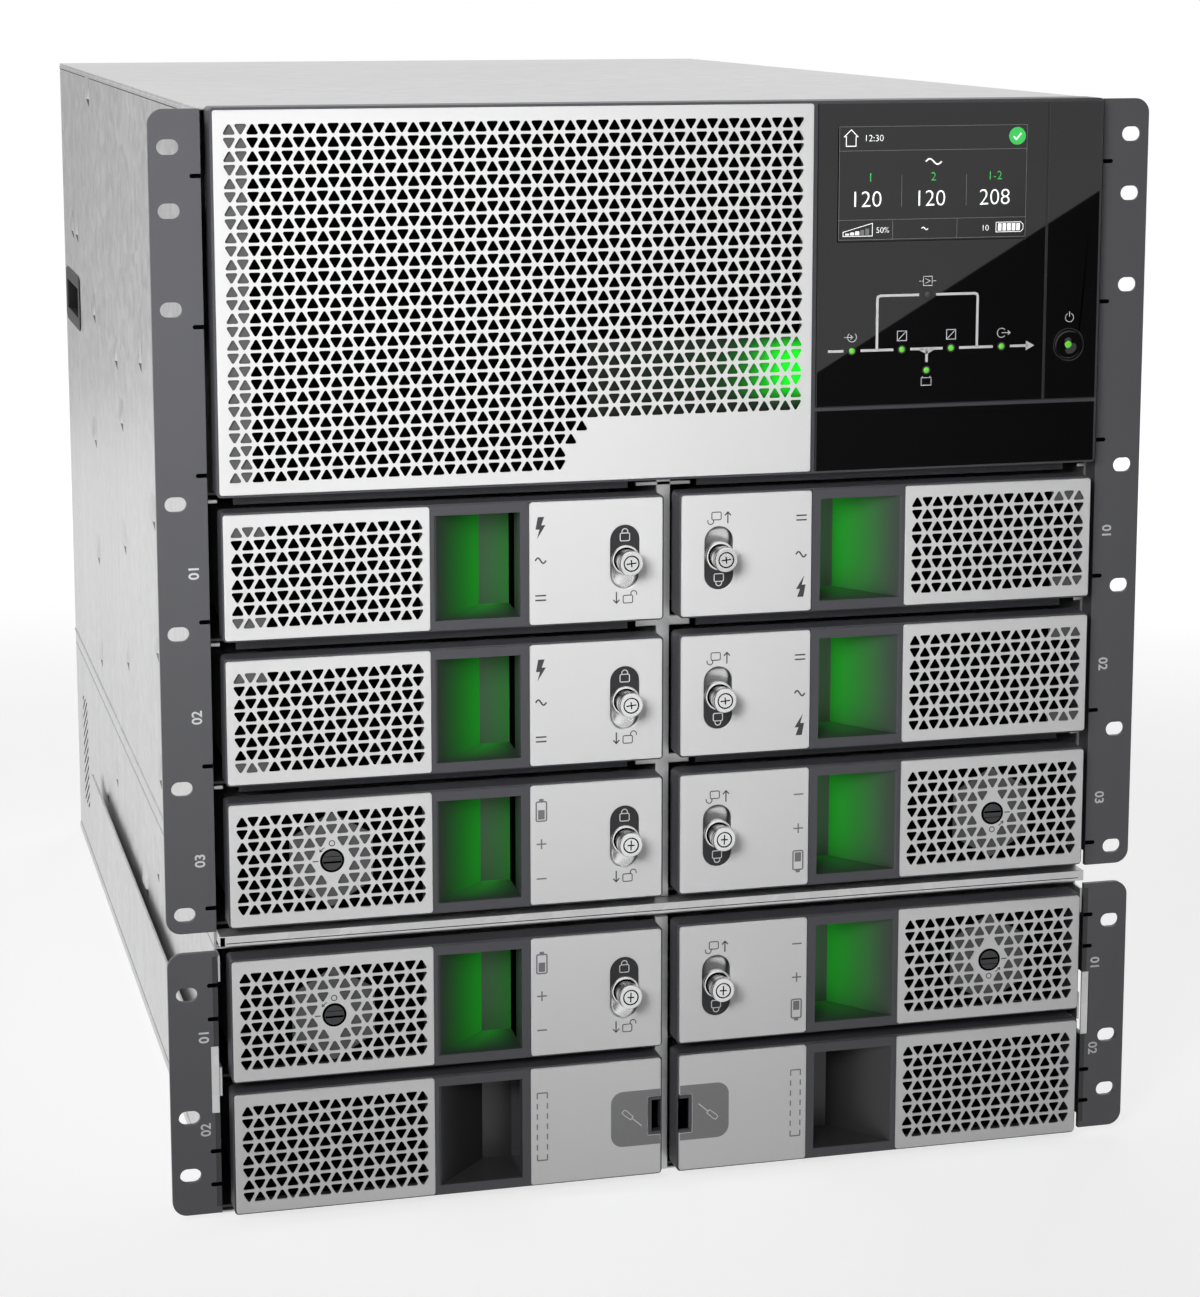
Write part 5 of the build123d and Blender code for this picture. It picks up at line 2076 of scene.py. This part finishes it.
@dataclass
class Chassis:
    """The sheet metal of both chassis, the ears and the small metal details on them.

    Attributes:
        side_x: Half the width over the side sheets.
        fold_z: Height of the fold line above the seam between the chassis.
        fold_height: Height of the ridge along the fold.
        fold_proud: How far the ridge stands out.
        seam_z: Height of the dark seam between the chassis.
        cover_lip: Height of the top cover's turned-down edge.
        line_width: Width of a dark seam line, and of the painted shadow line under the cover's lip.
        tabs: Lanced tabs of a side sheet, as depth and height of their middles.
        tab_length: Height of a tab.
        tab_width: Depth of a tab along the sheet.
        tab_proud: How far its lower edge stands out.
        tab_drop: Height of the black triangle of painted shade in the mouth below a tab.
        base_fold: Height of the rounded edge along the foot.
        bay_marks: Numbers on the ears, with their heights.
        mark_x: Distance of the numbers from the middle of the object.
        notches: Heights of the notches in the ears' inner edges.
        notch_size: Length and height of a notch.
        window: Lower and upper end of the window in a lower ear.
        ear_reach: Lowest and highest end of the painted shade along a lower ear's bent edge.
        edge_width: Width of that painted shade.
        strip_width: Width of the bright strip in the window.
        gaps: Lower and upper edge of each shelf's front lip, seen between two rows.
        lip_reach: Where a lip starts and ends, from the middle of the object.
        end_reach: Where a shelf's bright end starts and ends, inwards from the side sheet.
        end_drop: How far its lower and upper edge lie below the upper edge of the lip.
        corner_reach: Where the bent side edges start and end, from the middle of the object.
        corners: Lower and upper end of each bent side edge.
        arm: Width and height of the bright arm across the divider.
        arm_drop: How far its middle lies below the upper edge of the highest lip.
        sill_line: Height of the black line of painted shade in the crease along the sill.
        sill_reach: Where the crease ends, from the middle of the object.
        sill_slot: Width and height of the painted shade in the slot at the sill's left end, then its middle's
            X and Z.
        slat_count: Slats in each rear opening.
        slat_half: Half the length of a slat.
        slat_lean: How far a slat leans into the opening and how far up.
        slat_edge: Offset of a slat's other face, in depth and height.
        opening_columns: Rear openings in a row.
        opening_pitch: Distance from one to the next.
        opening_height: Height that the slats of an opening share.
        opening_levels: Heights of the rows' middles.
    """

    side_x: float = 218.0
    fold_z: float = 140.5
    fold_height: float = 2.6
    fold_proud: float = 0.8
    seam_z: float = 132.3
    cover_lip: float = 2.0
    line_width: float = 0.6
    tabs: Pairs = (
        (179.0, 515.0), (307.0, 425.0), (278.0, 425.0), (176.0, 384.0), (51.0, 371.0), (-75.0, 385.0),
        (28.0, 338.0), (189.0, 305.0), (-122.0, 307.0), (28.0, 267.0), (189.0, 231.0), (189.0, 166.0),
        (28.0, 199.0), (-124.0, 237.0), (-124.0, 168.0), (110.0, 109.0), (171.0, 83.0), (-101.0, 110.0),
        (-45.0, 85.0),
    )
    tab_length: float = 13.0
    tab_width: float = 22.0
    tab_proud: float = 1.5
    tab_drop: float = 5.0
    base_fold: float = 5.2
    bay_marks: tuple[tuple[str, float], ...] = (
        ("01", 313.2), ("02", 245.8), ("03", 177.5), ("01", 91.8), ("02", 46.5),
    )
    mark_x: float = 225.0
    notches: tuple[float, ...] = (154.5, 222.5, 290.5, 358.5, 426.5, 494.5, 19.2, 35.6, 100.6, 117.0)
    notch_size: Pair = (5.0, 2.0)
    window: Pair = (54.2, 87.2)
    ear_reach: Pair = (8.0, 131.0)
    edge_width: float = 2.4
    strip_width: float = 3.8
    gaps: Pairs = ((342.9, 347.4), (274.75, 280.25), (206.75, 212.25), (66.6, 69.1))
    lip_reach: Pair = (17.0, 205.0)
    end_reach: Pair = (5.6, 1.3)
    end_drop: Pair = (3.5, 1.9)
    corner_reach: Pair = (216.5, 217.7)
    corners: Pairs = ((62.0, 76.0), (118.0, 130.5))
    arm: Pair = (26.8, 1.8)
    arm_drop: float = 2.6
    sill_line: float = 137.2
    sill_reach: float = 213.8
    sill_slot: tuple[float, ...] = (2.2, 4.3, -215.5, 138.15)
    slat_count: int = 4
    slat_half: float = 19.4
    slat_lean: Pair = (3.6, 3.4)
    slat_edge: Pair = (0.4, 0.5)
    opening_columns: int = 7
    opening_pitch: float = 52.0
    opening_height: float = 26.0
    opening_levels: tuple[float, ...] = (35.6, 100.6, 175.75, 243.75, 311.75, 436.7)

    def build(self, shop: Workshop) -> None:
        """Dress the solids and make the details."""
        outside = ("side_panels", "top_covers", "base_plates", "rear_panels")
        for node in (*outside, "centre_dividers", "front_sill", "support_rails"):
            shop.dress(node, Look.ZINC, 0.4)
        shop.dress("shelves", Look.RAIL, 0.3)
        shop.dress("rack_ears", Look.EAR, 0.5)
        shop.dress("carry_handles", Look.BLACK, 0.6)
        self.build_sides(shop)
        self.build_ears(shop)
        self.build_gaps(shop)
        self.build_marks(shop)
        self.build_rear(shop)

    def strip(self, y: Array, z: float, height: float, proud: float) -> Surface:
        """A half-round ridge along both sides: its cosine stands out, its sine goes up, carried along Y.

        Args:
            y: Where it starts and ends.
            z: Height of its middle.
            height: Its height.
            proud: How far it stands out.

        Returns:
            The left ridge and its mirror image.
        """
        angle = np.linspace(-math.pi / 2, math.pi / 2, 9)
        out, up = -self.side_x - proud * np.cos(angle), z + height / 2 * np.sin(angle)
        left = lofted(np.stack(np.broadcast_arrays(out, y[:, None], up), axis=-1))
        return join(left, left.mirrored())

    def build_sides(self, shop: Workshop) -> None:
        """Make the folds, seams, painted shadow line and lanced tabs of both sides.

        A tab is a wedge on a grid: its height grows in proportion from its upper to its lower edge and falls
        off towards its ends. The mouth below it is painted shade, a flat black triangle, deeper towards the
        front.
        """
        low, high = np.array(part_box("side_panels")) / MM
        y = np.array([low[1] + 1.0, high[1] - 1.0])
        lip_z = high[2] - self.cover_lip / 2
        folds = join(
            self.strip(y, self.fold_z, self.fold_height, self.fold_proud),
            self.strip(y, lip_z, self.cover_lip, self.fold_proud / 2),
            self.strip(y, self.base_fold / 2 + 0.2, self.base_fold, self.fold_proud),
        )
        shop.piece("side_folds", folds, Look.ZINC)
        # Dark seams between the chassis and above the foot's fold, and a painted shadow line under the
        # cover's lip
        below = lip_z - self.cover_lip / 2 - self.line_width / 2
        above = self.base_fold + self.line_width
        seams = join(*(self.strip(y, z, self.line_width, 0.05) for z in (self.seam_z, below, above)))
        shop.piece("side_seams_and_shadow_line", seams, Look.BLACK)
        u, v = np.meshgrid(np.linspace(-1.0, 1.0, 9), np.linspace(-1.0, 1.0, 7))
        height = self.tab_proud * (1 - v) / 2 * (1 - u**12) * np.where(v <= -0.99, 0.92, 1.0)
        shape = np.stack([-height, u * self.tab_width / 2, v * self.tab_length / 2], axis=-1)
        places = np.array([[-self.side_x - 0.05, depth, level] for depth, level in self.tabs])
        tabs = join(*(grid(shape + place) for place in places))
        shop.piece("side_tabs", join(tabs, tabs.mirrored()), Look.ZINC)
        # Painted shade: a flat black triangle in the mouth below each tab
        reach, foot = 0.45 * self.tab_width, -self.tab_length / 2
        corner = np.array([[0.0, reach, foot], [0.0, -reach, foot], [0.0, -reach, foot - self.tab_drop]])
        mouth = lofted(np.stack([corner, corner + np.array([0.04, 0.0, 0.0])]))
        mouths = join(*(mouth.moved(*place) for place in places))
        shop.piece("side_tab_mouth_shade", join(mouths, mouths.mirrored()), Look.BLACK)

    @staticmethod
    def plates(x: Pair, z: Pair, y: float, thickness: float) -> Surface:
        """A small plate with a bevelled front edge, and its mirror image on the other side.

        Args:
            x: Where it starts and ends, from the middle of the object outwards.
            z: Its lower and upper edge.
            y: Depth of its face.
            thickness: Its thickness.

        Returns:
            Both plates.
        """
        ring = rectangle(x[1] - x[0], z[1] - z[0], (x[0] + x[1]) / 2, (z[0] + z[1]) / 2)
        right = pressed_plate(ring, y, thickness, min(0.15, thickness / 4))
        return join(right, right.mirrored())

    def build_ears(self, shop: Workshop) -> None:
        """Make painted shade on the ears, black in the notches and dark along the lower ears' bent edges, and
        the bright strip in their windows.

        A notch is a slot with a round outer end, its other end at the ear's inner edge.
        """
        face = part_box("rack_ears")[0][1] / MM
        length, height = self.notch_size
        inner = self.side_x + 0.05
        radii = np.array([0.1, height / 2 - 0.05, height / 2 - 0.05, 0.1])
        slots = []
        # Painted shade: a black slot laid on each notch
        for level in self.notches:
            ring = rounded_ring(rectangle(length, height, inner + length / 2, level), radii, 6)
            slots.append(pressed_plate(ring, face - 0.04, 0.05, 0.01))
        right = join(*slots)
        shop.piece("ear_notch_shade", join(right, right.mirrored()), Look.PAINTED_DARK)
        low, high = self.window
        bottom, top = self.ear_reach
        reach = (inner, inner + self.edge_width)
        # Painted shade: a darker strip along the lower ears' bent edge
        edges = join(*(self.plates(reach, z, face - 0.03, 0.04) for z in ((bottom, low), (high, top))))
        shop.piece("ear_edge_shade", edges, Look.RAIL)
        strip = self.plates((inner, inner + self.strip_width), (low + 0.1, high - 0.1), face + 0.2, 0.8)
        shop.piece("ear_window_strips", strip, Look.ZINC)

    def build_gaps(self, shop: Workshop) -> None:
        """Make what shows between the rows: shelf lips and bright ends, bent side edges, and painted shade in
        the sill's crease and slot.
        """
        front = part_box("shelves")[0][1] / MM
        lips = join(*(self.plates(self.lip_reach, gap, front - 1.5, 1.4) for gap in self.gaps))
        shop.piece("shelf_lips", lips, Look.FASCIA)
        reach = (self.side_x - self.end_reach[0], self.side_x - self.end_reach[1])
        ends = [
            self.plates(reach, (z - self.end_drop[0], z - self.end_drop[1]), front - 1.6, 1.5)
            for _, z in self.gaps[:3]
        ]
        corners = [self.plates(self.corner_reach, z, front - 9.5, 9.4) for z in self.corners]
        arm_ring = rectangle(*self.arm, 0.0, self.gaps[0][1] - self.arm_drop)
        arm = pressed_plate(arm_ring, front - 3.0, 2.9, 0.2)
        shop.piece("shelf_ends", join(*ends, *corners, arm), Look.ZINC)
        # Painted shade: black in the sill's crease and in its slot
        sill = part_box("front_sill")[0][1] / MM
        crease = rectangle(2 * self.sill_reach, 0.4, 0.0, self.sill_line)
        dark = [pressed_plate(ring, sill - 0.03, 0.04, 0.01) for ring in (crease, rectangle(*self.sill_slot))]
        shop.piece("sill_shade_lines", join(*dark), Look.PAINTED_DARK)

    def build_marks(self, shop: Workshop) -> None:
        """Make the plain bay numbers on the ears, read upwards on the left and downwards on the right."""
        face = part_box("rack_ears")[0][1] / MM
        marks = []
        for text, z in self.bay_marks:
            flat = digits(text, 4.9, face, 0.04, 0.02)
            marks.append(turned_quarter(flat, False).moved(-self.mark_x, 0.0, z))
            marks.append(turned_quarter(flat, True).moved(self.mark_x, 0.0, z))
        shop.piece("bay_numbers", join(*marks), Look.PRINT_PALE)

    def build_rear(self, shop: Workshop) -> None:
        """Make the slats of the rear openings.

        A slat is a flat strip on a grid that leans by its own width; the slats of one opening are copies at
        even steps, and the openings repeat at the solid's own pitch.
        """
        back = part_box("rear_panels")[1][1] / MM
        into, up = self.slat_lean
        u, v = np.meshgrid(np.array([-self.slat_half, self.slat_half]), np.linspace(0.0, 1.0, 4))
        near = np.stack([u, -into * v, up * (v - 0.5)], axis=-1)
        far = near[::-1] + np.array([0.0, *self.slat_edge])
        slat = lofted(np.concatenate([near, far]).swapaxes(0, 1))
        across = (np.arange(self.opening_columns) - (self.opening_columns - 1) / 2) * self.opening_pitch
        steps = np.arange(self.slat_count) - (self.slat_count - 1) / 2
        steps *= self.opening_height / self.slat_count
        places = np.meshgrid(across, self.opening_levels, steps, indexing="ij")
        spots = np.stack(places, axis=-1).reshape(-1, 3)
        slats = join(*(slat.moved(x, back - 1.3, level + step) for x, level, step in spots))
        shop.piece("rear_slats", slats, Look.RAIL)


@dataclass(frozen=True)
class Lamp:
    """A soft square lamp that faces a point; only what it lights is seen, not the lamp itself.

    Attributes:
        name: The lamp's name.
        place: Where it stands, in metres.
        target: The point that it faces.
        size: Its side, in metres.
        spread: The angle that its light fills, in degrees.
        power: Its power in watts.
    """

    name: str
    place: Point
    target: Point
    size: float
    spread: float
    power: float

    def build(self) -> None:
        """Add the lamp to the scene."""
        data = bpy.data.lights.new(self.name, "AREA")
        data.energy = self.power
        data.size = self.size
        data.spread = math.radians(self.spread)
        lamp = bpy.data.objects.new(self.name, data)
        lamp.location = self.place
        way = np.array(self.target) - np.array(self.place)
        flat = math.hypot(way[0], way[1])
        lamp.rotation_euler = (math.atan2(flat, -way[2]), 0.0, math.atan2(-way[0], way[1]))
        lamp.visible_glossy = False
        lamp.visible_camera = False
        bpy.context.scene.collection.objects.link(lamp)


LAMPS = (
    Lamp("key", (-0.60, -1.20, 0.75), (-0.12, -0.355, 0.43), 0.5, 50.0, 1.42),
    Lamp("fill", (0.9, -2.1, 0.5), (0.0, -0.3, 0.2), 1.4, 180.0, 3.5),
    Lamp("left", (-1.2, 0.0, 0.10), (-0.2, 0.0, 0.0), 0.8, 180.0, 9.0),
    Lamp("rear", (1.1, 2.0, 1.5), (0.0, 0.3, 0.25), 1.6, 180.0, 18.0),
)


@dataclass
class Studio:
    """Camera, lamps, floor, cards and surroundings.

    Attributes:
        position: Place of the camera in millimetres.
        yaw: How far it looks to the right, in degrees.
        pitch: How far it looks up, in degrees.
        lens: Focal length on a 36 mm frame.
        shift: Shift of the frame upwards, as a share of its longer side.
        display_card: Corners, X and Z, of a black card beside the camera that darkens the display's foot.
        side_card: Corners of a grey card behind the left side, which darkens the top of the side sheets.
        side_card_y: Where that card stands.
        side_card_level: How bright it looks.
        world_seen: How much brighter the surroundings look than they light.
        world_light: Strength of their even light.
        floor_half: Half the side of the floor.
        floor_tone: Grey of the floor.
        floor_near: Distance, in metres, up to which the floor is darkest, and its own light there.
        floor_far: Distance from which it is palest, and its own light there.
    """

    position: Point = (-399.0, -1747.8, 585.3)
    yaw: float = 14.632
    pitch: float = -9.507
    lens: float = 86.59
    shift: float = -0.12
    display_card: Pairs = ((330.0, 85.3), (330.0, -900.0), (2600.0, -900.0), (2600.0, 1422.6))
    side_card: Pairs = ((-1500.0, 130.0), (-300.0, 130.0), (-300.0, 700.0), (-1500.0, 700.0))
    side_card_y: float = 1500.0
    side_card_level: float = 0.4
    world_seen: float = 0.90
    world_light: float = 0.10
    floor_half: float = 8000.0
    floor_tone: float = 0.35
    floor_near: Pair = (0.5, 0.74)
    floor_far: Pair = (1.8, 0.98)

    def build(self) -> None:
        """Set up everything around the object."""
        self.build_camera()
        self.build_world()
        self.build_floor()
        for lamp in LAMPS:
            lamp.build()
        self.card("display_card", np.array(self.display_card), self.position[1], 0.0)
        self.card("side_card", np.array(self.side_card), self.side_card_y, self.side_card_level)
        LOG.info("studio set")

    def build_camera(self) -> None:
        """Set the camera at the photograph's viewing angle."""
        data = bpy.data.cameras.new("camera")
        data.lens = self.lens
        data.sensor_width = 36.0
        data.sensor_fit = "AUTO"
        data.shift_y = self.shift
        data.clip_end = 50.0
        camera = bpy.data.objects.new("camera", data)
        camera.location = [value * MM for value in self.position]
        camera.rotation_euler = (math.radians(90.0 + self.pitch), 0.0, -math.radians(self.yaw))
        bpy.context.scene.collection.objects.link(camera)
        bpy.context.scene.camera = camera

    def build_world(self) -> None:
        """White to the eye, to shine and through glass; a dimmer even light on everything else."""
        world = bpy.data.worlds.new("studio")
        world.use_nodes = True
        bpy.context.scene.world = world
        nodes = Nodes(world.node_tree)
        path = nodes.add("ShaderNodeLightPath")
        seen = nodes.maths("MAXIMUM", path.outputs["Is Camera Ray"], path.outputs["Is Glossy Ray"])
        seen = nodes.maths("MAXIMUM", seen, path.outputs["Is Transmission Ray"])
        ground = world.node_tree.nodes["Background"]
        nodes.put(ground.inputs["Color"], WHITE)
        level = nodes.maths("MULTIPLY_ADD", seen, self.world_seen, self.world_light)
        nodes.link(level, ground.inputs["Strength"])

    def build_floor(self) -> None:
        """A wide pale floor that keeps the object's shadow and fades into the white around."""
        mesh = bpy.data.meshes.new("floor")
        corners = at_depth(rectangle(2 * self.floor_half, 2 * self.floor_half), 0.0)[:, [0, 2, 1]]
        mesh.from_pydata((corners * MM).tolist(), [], [[0, 1, 2, 3]])
        floor = bpy.data.objects.new("floor", mesh)
        bpy.context.scene.collection.objects.link(floor)
        material = bpy.data.materials.new("floor")
        material.use_nodes = True
        nodes = Nodes(material.node_tree)
        shader = material.node_tree.nodes["Principled BSDF"]
        nodes.put(shader.inputs["Base Color"], (self.floor_tone, self.floor_tone, self.floor_tone))
        nodes.put(shader.inputs["Roughness"], 0.9)
        nodes.put(shader.inputs["Specular IOR Level"], 0.0)
        nodes.put(shader.inputs["Emission Color"], WHITE)
        path = nodes.add("ShaderNodeLightPath")
        seen = nodes.maths("MAXIMUM", path.outputs["Is Camera Ray"], path.outputs["Is Glossy Ray"])
        distance = nodes.add("ShaderNodeVectorMath", operation="LENGTH")
        nodes.link(nodes.add("ShaderNodeTexCoord").outputs["Object"], distance.inputs[0])
        spread = nodes.add("ShaderNodeMapRange", interpolation_type="SMOOTHSTEP")
        nodes.link(distance.outputs["Value"], spread.inputs["Value"])
        (near, darkest), (far, palest) = self.floor_near, self.floor_far
        for name, value in (("From Min", near), ("From Max", far), ("To Min", darkest), ("To Max", palest)):
            nodes.put(spread.inputs[name], value)
        nodes.link(nodes.maths("MULTIPLY", seen, spread.outputs[0]), shader.inputs["Emission Strength"])
        mesh.materials.append(material)

    @staticmethod
    def card(name: str, corners: Array, y: float, level: float) -> None:
        """Stand up a dark card that only shine sees.

        Args:
            name: The card's name.
            corners: Its corners, X and Z in millimetres.
            y: Where it stands.
            level: How bright it looks, from 0 for black to 1 for white.
        """
        mesh = bpy.data.meshes.new(name)
        mesh.from_pydata((at_depth(corners, y) * MM).tolist(), [], [list(range(len(corners)))])
        card = bpy.data.objects.new(name, mesh)
        bpy.context.scene.collection.objects.link(card)
        material = bpy.data.materials.new(name)
        material.use_nodes = True
        nodes = Nodes(material.node_tree)
        shader = material.node_tree.nodes["Principled BSDF"]
        nodes.put(shader.inputs["Base Color"], NO_LIGHT)
        nodes.put(shader.inputs["Specular IOR Level"], 0.0)
        nodes.put(shader.inputs["Emission Color"], WHITE)
        nodes.put(shader.inputs["Emission Strength"], level)
        mesh.materials.append(material)
        card.visible_camera = False
        card.visible_diffuse = False
        card.visible_shadow = False
        card.visible_transmission = False


BAYS = (
    ("power_a1", Side.LEFT, Kind.POWER),
    ("power_a2", Side.LEFT, Kind.POWER),
    ("battery_a3", Side.LEFT, Kind.BATTERY),
    ("battery_a4", Side.LEFT, Kind.BATTERY),
    ("power_b1", Side.RIGHT, Kind.POWER),
    ("power_b2", Side.RIGHT, Kind.POWER),
    ("battery_b3", Side.RIGHT, Kind.BATTERY),
    ("battery_b4", Side.RIGHT, Kind.BATTERY),
    ("filler_a5", Side.LEFT, Kind.FILLER),
    ("filler_b5", Side.RIGHT, Kind.FILLER),
)


def bay_box(name: str, side: Side, kind: Kind) -> tuple[tuple[float, ...], tuple[float, ...]]:
    """The corners of a bay's plates in metres; the fillers share one solid, so theirs is its half.

    Args:
        name: The bay's name.
        side: Its column.
        kind: What it holds.

    Returns:
        The lowest and highest corner.
    """
    if kind is not Kind.FILLER:
        low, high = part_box(f"{name}_plates")
        return tuple(low), tuple(high)
    low, high = (list(corner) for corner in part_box("filler_plates"))
    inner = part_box("power_a1_plates")[1][0]
    if side is Side.LEFT:
        high[0] = inner
    else:
        low[0] = -inner
    return tuple(low), tuple(high)


def main() -> None:
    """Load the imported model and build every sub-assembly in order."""
    logging.basicConfig(level=logging.INFO, format="%(message)s")
    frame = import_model()
    shop = Workshop(frame)
    Studio().build()
    Chassis().build(shop)
    Header().build(shop)
    Display().build(shop)
    shop.dress("filler_fascias", Look.FASCIA, 0.5)
    for name, side, kind in BAYS:
        if kind is not Kind.FILLER:
            shop.dress(f"{name}_fascia", Look.FASCIA, 0.5)
            shop.dress(f"{name}_case", Look.ZINC, 0.8)
        ModuleFront(name, side, kind, bay_box(name, side, kind)).build(shop)
    bpy.context.scene.view_settings.view_transform = "Standard"


if __name__ == "__main__":
    main()
